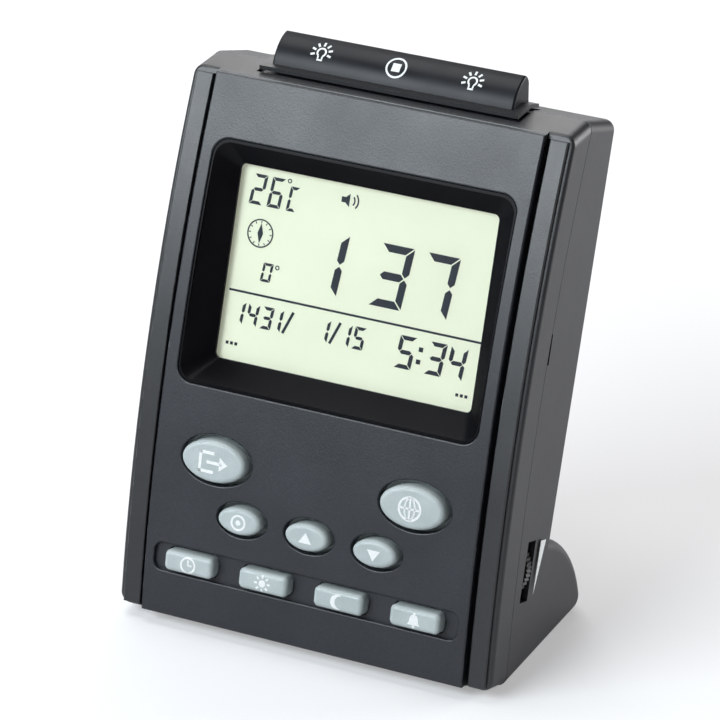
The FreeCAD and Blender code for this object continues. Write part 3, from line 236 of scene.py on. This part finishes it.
plasticLooks = {
    "case_plastic": {"dark": (0.007, 0.008, 0.010), "light": (0.011, 0.012, 0.014),
                     "cloudScale": 60, "grainScale": 2800, "fleck": 0.6, "roughness": 0.42,
                     "roughVary": 0.04, "waveBump": 0.03, "grainBump": 0.7, "specular": 0.7},
    "panel_plastic": {"dark": (0.006, 0.008, 0.012), "light": (0.010, 0.012, 0.018),
                      "cloudScale": 50, "grainScale": 2400, "fleck": 0.85, "roughness": 0.43,
                      "roughVary": 0.04, "waveBump": 0.03, "grainBump": 0.9, "specular": 0.62},
    "bezel_plastic": {"dark": (0.002, 0.002, 0.003), "light": (0.004, 0.004, 0.005),
                      "cloudScale": 80, "grainScale": 5000, "fleck": 0.2, "roughness": 0.38,
                      "roughVary": 0.04, "waveBump": 0.03, "grainBump": 0.15, "specular": 0.1},
    "bar_plastic": {"dark": (0.004, 0.005, 0.008), "light": (0.007, 0.008, 0.011),
                    "cloudScale": 70, "grainScale": 4200, "fleck": 0.35, "roughness": 0.36,
                    "roughVary": 0.04, "waveBump": 0.03, "grainBump": 0.3, "specular": 0.22},
    "key_plastic": {"dark": (0.37, 0.42, 0.42), "light": (0.44, 0.49, 0.49),
                    "cloudScale": 150, "grainScale": 4500, "fleck": 0.12, "roughness": 0.42,
                    "roughVary": 0.05, "waveBump": 0.04, "grainBump": 0.2},
    "wheel_plastic": {"dark": (0.012, 0.012, 0.013), "light": (0.02, 0.02, 0.021),
                      "cloudScale": 300, "grainScale": 5000, "fleck": 0.2, "roughness": 0.35,
                      "roughVary": 0.06, "waveBump": 0.03, "grainBump": 0.2},
    "holder_plastic": {"dark": (0.55, 0.55, 0.52), "light": (0.66, 0.66, 0.63),
                       "cloudScale": 90, "grainScale": 4000, "fleck": 0.1, "roughness": 0.5,
                       "roughVary": 0.05, "waveBump": 0.03, "grainBump": 0.2},
    "backlight_plastic": {"dark": (0.78, 0.8, 0.72), "light": (0.86, 0.88, 0.8),
                          "cloudScale": 90, "grainScale": 4000, "fleck": 0.05, "roughness": 0.4,
                          "roughVary": 0.05, "waveBump": 0.02, "grainBump": 0.1},
    "contact_rubber": {"dark": (0.02, 0.02, 0.021), "light": (0.04, 0.04, 0.041),
                       "cloudScale": 400, "grainScale": 5000, "fleck": 0.2, "roughness": 0.75,
                       "roughVary": 0.08, "waveBump": 0.05, "grainBump": 0.3},
    "board_resin": {"dark": (0.012, 0.07, 0.03), "light": (0.025, 0.12, 0.05),
                    "cloudScale": 500, "grainScale": 2500, "fleck": 0.25, "roughness": 0.3,
                    "roughVary": 0.06, "waveBump": 0.05, "grainBump": 0.15},
    "chip_resin": {"dark": (0.012, 0.012, 0.013), "light": (0.02, 0.02, 0.022),
                   "cloudScale": 700, "grainScale": 6000, "fleck": 0.3, "roughness": 0.55,
                   "roughVary": 0.07, "waveBump": 0.04, "grainBump": 0.3},
    "speaker_steel": {"dark": (0.015, 0.015, 0.016), "light": (0.03, 0.03, 0.031),
                      "cloudScale": 200, "grainScale": 4000, "fleck": 0.2, "roughness": 0.4,
                      "roughVary": 0.06, "waveBump": 0.03, "grainBump": 0.2},
    "speaker_film": {"dark": (0.03, 0.03, 0.031), "light": (0.05, 0.05, 0.051),
                     "cloudScale": 300, "grainScale": 2500, "fleck": 0.3, "roughness": 0.6,
                     "roughVary": 0.08, "waveBump": 0.05, "grainBump": 0.4},
    "battery_jacket": {"dark": (0.02, 0.03, 0.07), "light": (0.03, 0.045, 0.1),
                       "cloudScale": 120, "grainScale": 3000, "fleck": 0.1, "roughness": 0.28,
                       "roughVary": 0.05, "waveBump": 0.05, "grainBump": 0.1},
}
metalLooks = {
    "can_metal": {"dark": (0.6, 0.61, 0.63), "light": (0.78, 0.79, 0.8), "scale": 900,
                  "stretch": (1, 1, 6), "roughness": 0.3},
    "screw_steel": {"dark": (0.42, 0.42, 0.43), "light": (0.6, 0.6, 0.61), "scale": 1500,
                    "stretch": (1, 4, 1), "roughness": 0.34},
    "contact_metal": {"dark": (0.55, 0.54, 0.5), "light": (0.72, 0.71, 0.68), "scale": 1200,
                      "stretch": (1, 1, 5), "roughness": 0.28},
    "magnet_iron": {"dark": (0.15, 0.15, 0.155), "light": (0.26, 0.26, 0.27), "scale": 700,
                    "stretch": (1, 1, 1), "roughness": 0.42},
}
paneLook = {"tint": (0.97, 0.98, 0.965), "roughness": 0.06, "ior": 1.42, "smearScale": 90,
            "smearBump": 0.03}
# The glow entry is the strength of the display's painted glow; the display is no lamp
screenLook = {"dark": (0.77, 0.785, 0.65), "light": (0.81, 0.825, 0.69), "cloudScale": 40,
              "glow": 0.28, "grainScale": 2500, "roughness": (0.3, 0.42), "bump": 0.05}
inkLooks = {
    "screenInk": {"dark": (0.004, 0.009, 0.024), "light": (0.007, 0.014, 0.036), "grainScale": 1800,
                  "roughness": (0.35, 0.45), "bump": 0.1},
    "whitePrint": {"dark": (0.70, 0.72, 0.72), "light": (0.82, 0.84, 0.84), "grainScale": 2600,
                   "roughness": (0.45, 0.55), "bump": 0.1},
}

slotMaterials = {name: moulded(name, look) for name, look in plasticLooks.items()}
slotMaterials.update({name: metal(name, look) for name, look in metalLooks.items()})
slotMaterials["window_clear"] = clearPane("window_clear", paneLook)
slotMaterials["lcd_glass"] = screenGlass("lcd_glass", screenLook)
inks = {name: ink(name, look) for name, look in inkLooks.items()}

litSkirtFinish = "case_plastic"  # the skirt under the bar takes the case's plastic, as matt as the case but lighter and shinier: a painted highlight along its front edge
for part in frame["record"]["subparts"]:
    finish = litSkirtFinish if part["node"] == "bar_skirt" else part["material_slot"]
    for materialSlot in frame["nodes"][part["node"]].material_slots:
        materialSlot.material = slotMaterials[finish]
print("materials on the solids")


# Flat figures in millimetres: each is a list of outlines to fill

def ring(centre, radius, width, sides=40, start=0.0, sweep=360.0):
    # A ring, or an arc of it, as short quads
    quads = []
    for i in range(sides):
        a = math.radians(start + sweep * i / sides)
        b = math.radians(start + sweep * (i + 1) / sides)
        inner = radius - width / 2
        outer = radius + width / 2
        quads.append([(centre[0] + r * math.cos(t), centre[1] + r * math.sin(t))
                      for r, t in ((inner, a), (outer, a), (outer, b), (inner, b))])
    return quads


def disc(centre, radius, sides=28):
    # One outline with this many corners
    return [[(centre[0] + radius * math.cos(2 * math.pi * i / sides),
              centre[1] + radius * math.sin(2 * math.pi * i / sides)) for i in range(sides)]]


def stroke(points, width, reach=0.0):
    # A straight bar from each point to the next, made longer by reach at both its ends
    quads = []
    for (ax, ay), (bx, by) in zip(points, points[1:]):
        length = math.hypot(bx - ax, by - ay)
        dx, dy = (bx - ax) / length, (by - ay) / length
        ax, ay, bx, by = ax - dx * reach, ay - dy * reach, bx + dx * reach, by + dy * reach
        nx, ny = -dy * width / 2, dx * width / 2
        quads.append([(ax - nx, ay - ny), (bx - nx, by - ny),
                      (bx + nx, by + ny), (ax + nx, ay + ny)])
    return quads


def box(x, y, width, height):
    return [[(x - width / 2, y - height / 2), (x + width / 2, y - height / 2),
             (x + width / 2, y + height / 2), (x - width / 2, y + height / 2)]]


def moved(figure, dx=0.0, dy=0.0, size=1.0):
    return [[(x * size + dx, y * size + dy) for x, y in outline] for outline in figure]


# The lit segments of each sign: a to f run clockwise from the top, and g is the middle one
segmentTable = {
    "0": "abcdef", "1": "bc", "2": "abged", "3": "abgcd", "4": "fgbc", "5": "afgcd",
    "6": "afgedc", "7": "abc", "C": "afed",
}
segmentGap = 0.13  # half the gap between two segments, as a share of their bar
digitSlant = 6.0  # degrees from upright


def sevenSegments(sign, height, width, bar):
    # One digit with its lower left corner at the origin, leaning to the right
    w, h, t, g = width, height, bar, bar * segmentGap
    m = h / 2
    shapes = {
        "a": [(g, h), (w - g, h), (w - t - g, h - t), (t + g, h - t)],
        "d": [(g, 0), (t + g, t), (w - t - g, t), (w - g, 0)],
        "f": [(0, h - g), (t, h - t - g), (t, m + t / 2 + g), (t / 2, m + g), (0, m + g + t / 2)],
        "b": [(w, h - g), (w, m + g + t / 2), (w - t / 2, m + g), (w - t, m + t / 2 + g),
              (w - t, h - t - g)],
        "e": [(0, g), (0, m - g - t / 2), (t / 2, m - g), (t, m - t / 2 - g), (t, t + g)],
        "c": [(w, g), (w - t, t + g), (w - t, m - t / 2 - g), (w - t / 2, m - g),
              (w, m - g - t / 2)],
        "g": [(t / 2 + g, m), (t + g, m + t / 2), (w - t - g, m + t / 2), (w - t / 2 - g, m),
              (w - t - g, m - t / 2), (t + g, m - t / 2)],
    }
    lean = math.tan(math.radians(digitSlant))
    return [[(x + y * lean, y) for x, y in shapes[name]] for name in segmentTable[sign]]


def repeatTree():
    # Bars in a row by Pitch, or in a ring by Reach and Step
    tree = bpy.data.node_groups.new("repeatedBars", "GeometryNodeTree")
    interface = tree.interface
    interface.new_socket("Geometry", in_out="OUTPUT", socket_type="NodeSocketGeometry")
    interface.new_socket("Count", in_out="INPUT", socket_type="NodeSocketInt")
    for title in ("Pitch", "Start", "Step", "Length", "Width", "Reach"):
        interface.new_socket(title, in_out="INPUT", socket_type="NodeSocketFloat")
    interface.new_socket("Finish", in_out="INPUT", socket_type="NodeSocketMaterial")
    given = tree.nodes.new("NodeGroupInput")
    row = tree.nodes.new("GeometryNodeMeshLine")
    offset = tree.nodes.new("ShaderNodeCombineXYZ")
    bar = tree.nodes.new("GeometryNodeMeshGrid")
    bar.inputs["Vertices X"].default_value = 2
    bar.inputs["Vertices Y"].default_value = 2
    away = tree.nodes.new("GeometryNodeTransform")
    shift = tree.nodes.new("ShaderNodeCombineXYZ")
    index = tree.nodes.new("GeometryNodeInputIndex")
    angle = tree.nodes.new("ShaderNodeMath")
    angle.operation = "MULTIPLY_ADD"
    turn = tree.nodes.new("ShaderNodeCombineXYZ")
    place = tree.nodes.new("GeometryNodeInstanceOnPoints")
    real = tree.nodes.new("GeometryNodeRealizeInstances")
    finish = tree.nodes.new("GeometryNodeSetMaterial")
    out = tree.nodes.new("NodeGroupOutput")
    for source, target in (
        (given.outputs["Count"], row.inputs["Count"]),
        (given.outputs["Pitch"], offset.inputs["Y"]),
        (offset.outputs["Vector"], row.inputs["Offset"]),
        (given.outputs["Length"], bar.inputs["Size X"]),
        (given.outputs["Width"], bar.inputs["Size Y"]),
        (bar.outputs["Mesh"], away.inputs["Geometry"]),
        (given.outputs["Reach"], shift.inputs["X"]),
        (shift.outputs["Vector"], away.inputs["Translation"]),
        (index.outputs["Index"], angle.inputs[0]),
        (given.outputs["Step"], angle.inputs[1]),
        (given.outputs["Start"], angle.inputs[2]),
        (angle.outputs["Value"], turn.inputs["Z"]),
        (row.outputs["Mesh"], place.inputs["Points"]),
        (away.outputs["Geometry"], place.inputs["Instance"]),
        (turn.outputs["Vector"], place.inputs["Rotation"]),
        (place.outputs["Instances"], real.inputs["Geometry"]),
        (real.outputs["Geometry"], finish.inputs["Geometry"]),
        (given.outputs["Finish"], finish.inputs["Material"]),
        (finish.outputs["Geometry"], out.inputs["Geometry"]),
    ):
        linkTo(tree, source, target)
    return tree


def repeatedBars(count, length, width, reach=0.0, pitch=0.0, start=0.0, step=0.0):
    # Runs the tree and gives its bars as outlines in millimetres
    holder = bpy.data.objects.new("barHolder", bpy.data.meshes.new("barHolder"))
    bpy.context.scene.collection.objects.link(holder)
    modifier = holder.modifiers.new("bars", "NODES")
    modifier.node_group = barTree
    given = {"Count": count, "Pitch": pitch, "Length": length, "Width": width, "Reach": reach,
             "Start": math.radians(start), "Step": math.radians(step), "Finish": inks["whitePrint"]}
    for socket in barTree.interface.items_tree:
        if socket.in_out == "INPUT":
            modifier[socket.identifier] = given[socket.name]
    holder.update_tag()
    made = bpy.data.meshes.new_from_object(
        holder.evaluated_get(bpy.context.evaluated_depsgraph_get()))
    outlines = [[tuple(made.vertices[i].co[:2]) for i in face.vertices] for face in made.polygons]
    bpy.data.objects.remove(holder)
    bpy.data.meshes.remove(made)
    return outlines


barTree = repeatTree()


# What each sign takes of the row, as shares of the digit's width, its bar or the pitch
rowShares = {
    "colonDots": (0.3, 0.68), "colonIn": 0.1, "colonSize": 1.1, "colonStep": 0.45,
    "slashWide": 0.75, "slashBar": 0.9, "slashStep": 0.85, "oneBack": 0.45, "oneStep": 0.62,
}


def digitRow(text, x, y, height, width, bar, pitch):
    figure = []
    for sign in text:
        if sign == ":":
            lean = math.tan(math.radians(digitSlant)) * height
            dot = bar * rowShares["colonSize"]
            for share in rowShares["colonDots"]:
                figure += box(x + width * rowShares["colonIn"] + lean * share, y + height * share,
                              dot, dot)
            x += pitch * rowShares["colonStep"]
        elif sign == "/":
            figure += stroke([(x, y), (x + width * rowShares["slashWide"], y + height)],
                             bar * rowShares["slashBar"])
            x += pitch * rowShares["slashStep"]
        elif sign == "1":
            figure += moved(sevenSegments(sign, height, width, bar),
                            x - width * rowShares["oneBack"], y)
            x += pitch * rowShares["oneStep"]
        else:
            figure += moved(sevenSegments(sign, height, width, bar), x, y)
            x += pitch
    return figure


# Laying a figure on a solid

surfaces = {}
edgeSlack = 1.5  # an edge is split when it is longer than this many times the fine length


def surfaceOf(node):
    if node not in surfaces:
        surfaces[node] = BVHTree.FromObject(
            frame["nodes"][node], bpy.context.evaluated_depsgraph_get())
    return surfaces[node]


def fillFigure(figure, fine):
    # Triangles no longer than fine, so that they can follow a curved surface
    work = bmesh.new()
    for outline in figure:
        work.faces.new([work.verts.new((x * mm, y * mm, 0)) for x, y in outline])
    bmesh.ops.triangulate(work, faces=work.faces[:])
    while True:
        longEdges = [e for e in work.edges if e.calc_length() > fine * mm * edgeSlack]
        if not longEdges:
            break
        bmesh.ops.subdivide_edges(work, edges=longEdges, cuts=1)
        bmesh.ops.triangulate(work, faces=work.faces[:])
    return work


def layOn(name, figure, origin, face, surface, body, material, slotName,
          lift=0.04, fine=0.7, thick=0.03):
    # Fills the figure, lays it on a solid's surface and gives it a thin layer's thickness
    tree = surfaceOf(surface)
    work = fillFigure(figure, fine)
    for triangle in work.faces:
        if triangle.normal.z < 0:
            triangle.normal_flip()
    for vertex in work.verts:
        place = vertex.co.copy()
        start = origin + face["right"] * place.x + face["up"] * place.y + face["out"] * rayStart
        hit = tree.ray_cast(start, -face["out"])[0]
        if hit is None:
            hit = start - face["out"] * rayStart
        vertex.co = hit + face["out"] * lift * mm
    made = bmesh.ops.extrude_face_region(work, geom=work.faces[:])
    for vertex in (g for g in made["geom"] if isinstance(g, bmesh.types.BMVert)):
        vertex.co += face["out"] * thick * mm
    bmesh.ops.recalc_face_normals(work, faces=work.faces[:])
    mesh = bpy.data.meshes.new(name)
    work.to_mesh(mesh)
    work.free()
    piece = bpy.data.objects.new(name, mesh)
    bpy.context.scene.collection.objects.link(piece)
    piece.data.materials.append(material)
    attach(piece, body)


# The liquid crystal display

display = {
    "centre": Vector((0, -3.628, 80.33)) * mm, "width": 63.5, "height": 44.4,
    # Height, width and bar of each kind of digit, and its pitch as a share of the width
    "digits": {
        "hour": (14.2, 8.0, 1.75, 0), "clock": (7.4, 4.1, 0.95, 1.24),
        "date": (5.1, 2.75, 0.72, 1.32), "heat": (6.9, 3.3, 0.75, 1.36),
        "unit": (5.6, 2.3, 0.68, 0), "angle": (4.3, 2.5, 0.6, 0),
    },
    # Text, kind of digit, and the lower left corner as shares across and down the display
    "rows": (
        ("1", "hour", 0.35, 0.578), ("3", "hour", 0.545, 0.578), ("7", "hour", 0.72, 0.578),
        ("1431/", "date", 0.05, 0.815), ("1/15", "date", 0.385, 0.815),
        ("5:34", "clock", 0.675, 0.86),
    ),
    "divider": {"down": 0.65, "thick": 0.5, "margin": 1.0},
    # The heat's letter and the small rings are placed from their first digit's corner
    "heat": {"text": "26", "at": (0.035, 0.2), "unit": "C", "unitShift": 9.3,
             "ringAt": (9.4, 6.7), "ringWidth": 0.22},
    "bearing": {"text": "0", "at": (0.12, 0.578), "ringAt": (3.9, 3.7), "ringWidth": 0.24},
    "smallRing": 0.42, "smallRingSides": 16,
    "compassAt": (0.097, 0.34), "soundAt": (0.415, 0.085), "soundSize": 1.25,
    "dayDotsAt": ((0.045, 0.92), (0.945, 0.93)),
}


def onScreen(across, down):
    return (across - 0.5) * display["width"], (0.5 - down) * display["height"]


def screenRow(text, kind, x, y):
    height, width, bar, pitchShare = display["digits"][kind]
    return digitRow(text, x, y, height, width, bar, width * pitchShare)


def degreeRing(x, y, item):
    centre = (x + item["ringAt"][0], y + item["ringAt"][1])
    return ring(centre, display["smallRing"], item["ringWidth"], display["smallRingSides"])


def screenFigures():
    divider, heat, bearing = display["divider"], display["heat"], display["bearing"]
    x, y = onScreen(0.5, divider["down"])
    figure = box(x, y, display["width"] - divider["margin"], divider["thick"])
    for text, kind, across, down in display["rows"]:
        x, y = onScreen(across, down)
        figure += screenRow(text, kind, x, y)
    x, y = onScreen(*heat["at"])
    figure += screenRow(heat["text"], "heat", x, y)
    figure += screenRow(heat["unit"], "unit", x + heat["unitShift"], y)
    figure += degreeRing(x, y, heat)
    x, y = onScreen(*bearing["at"])
    return figure + screenRow(bearing["text"], "angle", x, y) + degreeRing(x, y, bearing)


def compassFigure():
    figure = ring((0, 0), 3.1, 0.32, 48)
    figure += [[(-0.7, 0), (0, -2.3), (0.7, 0), (0, 2.3)]]
    return figure + repeatedBars(12, 0.5, 0.22, reach=2.6, step=30)


def soundFigure():
    figure = [[(-1.3, -0.5), (-0.5, -0.5), (0.3, -1.2), (0.3, 1.2), (-0.5, 0.5), (-1.3, 0.5)]]
    for radius in (1.1, 1.8):
        figure += ring((0.2, 0), radius, 0.28, 10, -42, 84)
    return figure


def dotRow(count=3, pitch=1.1, size=0.7):
    figure = []
    for i in range(count):
        figure += box((i - (count - 1) / 2) * pitch, 0, size, size)
    return figure


dayDots = []
for spot in display["dayDotsAt"]:
    dayDots += moved(dotRow(), *onScreen(*spot))
screenPieces = {
    "screenDigits": screenFigures(),
    "screenCompass": moved(compassFigure(), *onScreen(*display["compassAt"])),
    "screenSoundSign": moved(soundFigure(), *onScreen(*display["soundAt"]), display["soundSize"]),
    "screenDaySigns": dayDots,
}
for pieceName, pieceFigure in screenPieces.items():
    layOn(pieceName, pieceFigure, display["centre"], displayFace, "lcd_front_glass", "case",
          inks["screenInk"], "lcd_glass")
print("display figures laid on the glass")


# Marks printed on the keys, in millimetres about their own centre

printedMark = {"lift": 0.01, "fine": 0.5}


def leaveSign():
    figure = stroke([(0.4, 1.5), (-1.7, 1.5), (-1.7, -1.5), (0.4, -1.5)], 0.5, 0.25)
    figure += stroke([(-0.6, 0), (2.0, 0)], 0.5)
    figure += [[(1.6, 1.1), (1.6, -1.1), (3.0, 0)]]
    return figure


def globeSign():
    figure = ring((0, 0), 2.0, 0.4, 40)
    figure += stroke([(-1.9, 0), (1.9, 0)], 0.35)
    figure += stroke([(0, -1.9), (0, 1.9)], 0.35)
    for side in (-1, 1):
        points = [(side * 0.95 * math.cos(math.radians(t)), 1.95 * math.sin(math.radians(t)))
                  for t in range(-80, 81, 16)]
        figure += stroke(points, 0.32, 0.05)
    return figure


def targetSign():
    return ring((0, 0), 1.3, 0.4, 28) + disc((0, 0), 0.5, 16)


def clockSign():
    figure = ring((0, 0), 1.5, 0.4, 32)
    figure += stroke([(0, 1.0), (0, 0), (0.75, 0)], 0.36, 0.1)
    return figure


def sunSign():
    radius, rays, inner, outer, width = 0.75, 8, 1.1, 1.8, 0.4
    return disc((0, 0), radius) + repeatedBars(
        rays, outer - inner, width, reach=(inner + outer) / 2, step=360 / rays)


def openArc(radius, centreX, halfGap, steps):
    # Points round a circle, with a gap of twice halfGap degrees on its right side
    angles = [math.radians(halfGap + (360 - 2 * halfGap) * i / steps) for i in range(steps + 1)]
    return [(centreX + radius * math.cos(a), radius * math.sin(a)) for a in angles]


def moonSign():
    # The part of a disc that a smaller disc, shifted to the right, leaves free
    outer, inner, shift, steps = 1.6, 1.35, 0.75, 24
    cosine = (outer ** 2 + shift ** 2 - inner ** 2) / (2 * outer * shift)
    rim = openArc(outer, 0, math.degrees(math.acos(cosine)), steps)
    hollowGap = math.degrees(math.atan2(rim[0][1], rim[0][0] - shift))
    hollow = openArc(inner, shift, hollowGap, steps)
    return [[rim[i], rim[i + 1], hollow[i + 1], hollow[i]] for i in range(steps)]


def bellSign():
    figure = [[(-1.35, -0.9), (1.35, -0.9), (1.0, -0.4), (0.9, 0.5), (0.5, 1.15), (-0.5, 1.15),
               (-0.9, 0.5), (-1.0, -0.4)]]
    figure += disc((0, -1.25), 0.32, 14)
    figure += disc((0, 1.35), 0.26, 12)
    return figure


def arrowSign(side):
    return [[(-1.3, -0.85 * side), (1.3, -0.85 * side), (0, 1.15 * side)]]


# Each sign is a drawing about 3 mm across, shifted right and up on its key by the first two
# numbers and scaled by the third
keySigns = {
    "key_exit": moved(leaveSign(), -0.6, 0.3, 1.45),
    "key_city": moved(globeSign(), -0.3, 0.3, 1.3),
    "key_set": moved(targetSign(), 0, 0.3, 1.25),
    "key_up": moved(arrowSign(1), 0, 0.3, 1.25),
    "key_down": moved(arrowSign(-1), 0, 0.3, 1.25),
    "key_hour_format": moved(clockSign(), 0, 0.35, 1.15),
    "key_summer_time": moved(sunSign(), 0, 0.35, 1.1),
    "key_azan": moved(moonSign(), 0, 0.35, 1.0925),
    "key_alarm": moved(bellSign(), 0, 0.35, 1.15),
}
for keyName, sign in keySigns.items():
    low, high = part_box(keyName)
    layOn(keyName + "_sign", sign, (Vector(low) + Vector(high)) / 2, keyFace, keyName, keyName,
          inks["whitePrint"], "key_plastic", **printedMark)


# Marks on the press bar: a lamp at each end and a stop square

barMarks = {"lampShift": 18.5, "stopSize": 2.0, "stopRing": 2.3, "stopRingWidth": 0.45, "tilt": 50}
barLow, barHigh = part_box("stop_bar")
barTilt = math.radians(barMarks["tilt"])
barFace = facing(Vector((0, -math.sin(barTilt), math.cos(barTilt))))


def lampSign():
    figure = ring((0, 0.2), 1.0, 0.42, 24, -60, 300)
    figure += stroke([(-0.5, -0.75), (-0.5, -1.4)], 0.36)
    figure += stroke([(0.5, -0.75), (0.5, -1.4)], 0.36)
    figure += box(0, -1.65, 1.36, 0.4)
    return figure + moved(repeatedBars(7, 1.0, 0.5, reach=2.1, start=-18, step=36), 0, 0.2)


barCentre = (Vector(barLow) + Vector(barHigh)) / 2
for index, shift in enumerate((-barMarks["lampShift"], barMarks["lampShift"])):
    layOn("barLampSign" + str(index), lampSign(), barCentre + Vector((shift * mm, 0, 0)), barFace,
          "stop_bar", "stop_bar", inks["whitePrint"], "bar_plastic", **printedMark)
stopSign = box(0, 0, barMarks["stopSize"], barMarks["stopSize"])
stopSign += ring((0, 0), barMarks["stopRing"], barMarks["stopRingWidth"])
layOn("barStopSign", stopSign, barCentre, barFace,
      "stop_bar", "stop_bar", inks["whitePrint"], "bar_plastic", **printedMark)


# Grip ribs on the battery door

doorRibs = {"count": 6, "length": 16.0, "width": 0.7, "pitch": 1.7, "height": 0.3, "rise": 35}
doorLow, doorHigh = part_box("battery_door")
doorRise = math.radians(doorRibs["rise"])
doorFace = facing(Vector((0, math.cos(doorRise), math.sin(doorRise))))
doorPlace = (Vector(doorLow) + Vector(doorHigh)) / 2
ribFigure = moved(
    repeatedBars(doorRibs["count"], doorRibs["length"], doorRibs["width"], pitch=doorRibs["pitch"]),
    dy=-doorRibs["pitch"] * (doorRibs["count"] - 1) / 2)
layOn("doorGripRibs", ribFigure, doorPlace, doorFace, "battery_door", "battery_door",
      slotMaterials["case_plastic"], "case_plastic", lift=0.0, thick=doorRibs["height"])


# Wedge beside the volume wheel: its corners as depth and height, in millimetres

wedge = {"topFront": (-5.8, 28.9), "topBack": (-3.1, 27.9), "tip": (-9.8, 17.2)}
layOn("volumeWedge", [[wedge["topFront"], wedge["tip"], wedge["topBack"]]],
      Vector((cadHigh.x, 0, 0)), sideFace, "front_shell", "case",
      inks["whitePrint"], "case_plastic", lift=printedMark["lift"])
print("marks printed")


# Studio

studio = {
    "azimuth": 26.32, "elevation": 26.49, "lens": 230.5, "distance": 1.0207,
    "centre": Vector((0, -12.23, 63.1)) * mm, "shiftRight": 4.91 * mm, "shiftUp": 2.71 * mm,
    "sensor": 36, "worldLight": 0.10,
    "floor": {
        "half": 4.0, "gap": 0.02 * mm, "roughness": 0.8, "specular": 0.1, "cloudScale": 3.0,
        "colour": (0.60, 0.60, 0.61), "cloudTone": 1.02, "inGloss": 0.35,
        # Its own light near the object and far away, and the two distances in metres
        "lift": (0.30, 0.95), "liftFrom": (0.25, 1.6),
    },
    # Place, aim, size, power and colour of each lamp
    "lamps": {
        "frontLeftLamp": ((-0.45, -0.75, 0.66), (0, 0, 0.1), (0.8, 0.45), 12.5, (0.88, 0.95, 1.0)),
        "backLamp": ((-0.5, 0.95, 0.55), (0, 0, 0.1), (1.0, 0.6), 5.5, (1.0, 1.0, 1.0)),
        "topLamp": ((-0.3, 0.1, 1.0), (0, 0, 0.08), (0.6, 0.6), 4.5, (1.0, 1.0, 1.0)),
        "frontLamp": ((0.28, -1.0, 0.30), (0, 0, 0.06), (0.15, 0.35), 0.5, (0.95, 0.98, 1.0)),
        "backRightLamp": ((0.95, 0.85, 0.3), (0, 0, 0.06), (0.6, 0.6), 12.0, (1.0, 1.0, 1.0)),
    },
}


def addCamera():
    az, el = math.radians(studio["azimuth"]), math.radians(studio["elevation"])
    right = Vector((math.cos(az), math.sin(az), 0))
    ahead = Vector((-math.sin(az) * math.cos(el), math.cos(az) * math.cos(el), -math.sin(el)))
    up = right.cross(ahead)
    target = studio["centre"] + right * studio["shiftRight"] + up * studio["shiftUp"]
    data = bpy.data.cameras.new("camera")
    data.lens = studio["lens"]
    data.sensor_width = studio["sensor"]
    camera = bpy.data.objects.new("camera", data)
    turn = Matrix((right, up, -ahead)).transposed().to_4x4()
    camera.matrix_world = Matrix.Translation(target - ahead * studio["distance"]) @ turn
    bpy.context.scene.collection.objects.link(camera)
    bpy.context.scene.camera = camera


def addLamp(name, place, aim, size, power, colour):
    data = bpy.data.lights.new(name, "AREA")
    data.color = colour
    data.shape = "RECTANGLE"
    data.size, data.size_y = size
    data.energy = power
    lamp = bpy.data.objects.new(name, data)
    lamp.location = place
    lamp.rotation_euler = (Vector(aim) - Vector(place)).to_track_quat("-Z", "Y").to_euler()
    bpy.context.scene.collection.objects.link(lamp)


def addFloor():
    # Pale paper; it glows for the camera, and a little in the gloss, so that it runs out to white
    look = studio["floor"]
    mesh = bpy.data.meshes.new("floor")
    work = bmesh.new()
    bmesh.ops.create_grid(work, x_segments=2, y_segments=2, size=look["half"])
    work.to_mesh(mesh)
    work.free()
    floor = bpy.data.objects.new("floor", mesh)
    bpy.context.scene.collection.objects.link(floor)
    floor.location = (0, 0, cadLow.z - look["gap"])
    material, tree, shader = newMaterial("floorPaper")
    shader.inputs["Roughness"].default_value = look["roughness"]
    shader.inputs["Specular IOR Level"].default_value = look["specular"]
    cloud = objectNoise(tree, look["cloudScale"])
    cloudColour = tuple(c * look["cloudTone"] for c in look["colour"])
    paper = blendColours(tree, cloud, look["colour"], cloudColour)
    linkTo(tree, paper, shader.inputs["Base Color"])
    path = tree.nodes.new("ShaderNodeLightPath")
    seen = tree.nodes.new("ShaderNodeMath")
    seen.operation = "MULTIPLY_ADD"
    seen.inputs[1].default_value = look["inGloss"]
    linkTo(tree, path.outputs["Is Glossy Ray"], seen.inputs[0])
    linkTo(tree, path.outputs["Is Camera Ray"], seen.inputs[2])
    coords = tree.nodes.new("ShaderNodeTexCoord")
    reach = tree.nodes.new("ShaderNodeVectorMath")
    reach.operation = "LENGTH"
    linkTo(tree, coords.outputs["Object"], reach.inputs[0])
    glow = tree.nodes.new("ShaderNodeMath")
    glow.operation = "MULTIPLY"
    linkTo(tree, seen.outputs[0], glow.inputs[0])
    lift = spread(tree, reach.outputs["Value"], *look["lift"], *look["liftFrom"])
    linkTo(tree, lift, glow.inputs[1])
    shader.inputs["Emission Color"].default_value = (1, 1, 1, 1)
    linkTo(tree, glow.outputs[0], shader.inputs["Emission Strength"])
    floor.data.materials.append(material)
    floor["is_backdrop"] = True


def addWorld():
    # White behind the object, and a weak even light on it
    world = bpy.data.worlds.new("studio")
    bpy.context.scene.world = world
    world.use_nodes = True
    tree = world.node_tree
    back = tree.nodes["Background"]
    back.inputs["Color"].default_value = (1, 1, 1, 1)
    path = tree.nodes.new("ShaderNodeLightPath")
    pick = tree.nodes.new("ShaderNodeMapRange")
    pick.inputs["To Min"].default_value = studio["worldLight"]
    pick.inputs["To Max"].default_value = 1.0
    linkTo(tree, path.outputs["Is Camera Ray"], pick.inputs["Value"])
    linkTo(tree, pick.outputs["Result"], back.inputs["Strength"])


addCamera()
addFloor()
addWorld()
for lampName, lampValues in studio["lamps"].items():
    addLamp(lampName, *lampValues)
bpy.context.scene.view_settings.view_transform = "Standard"
print("studio ready")

low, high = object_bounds()
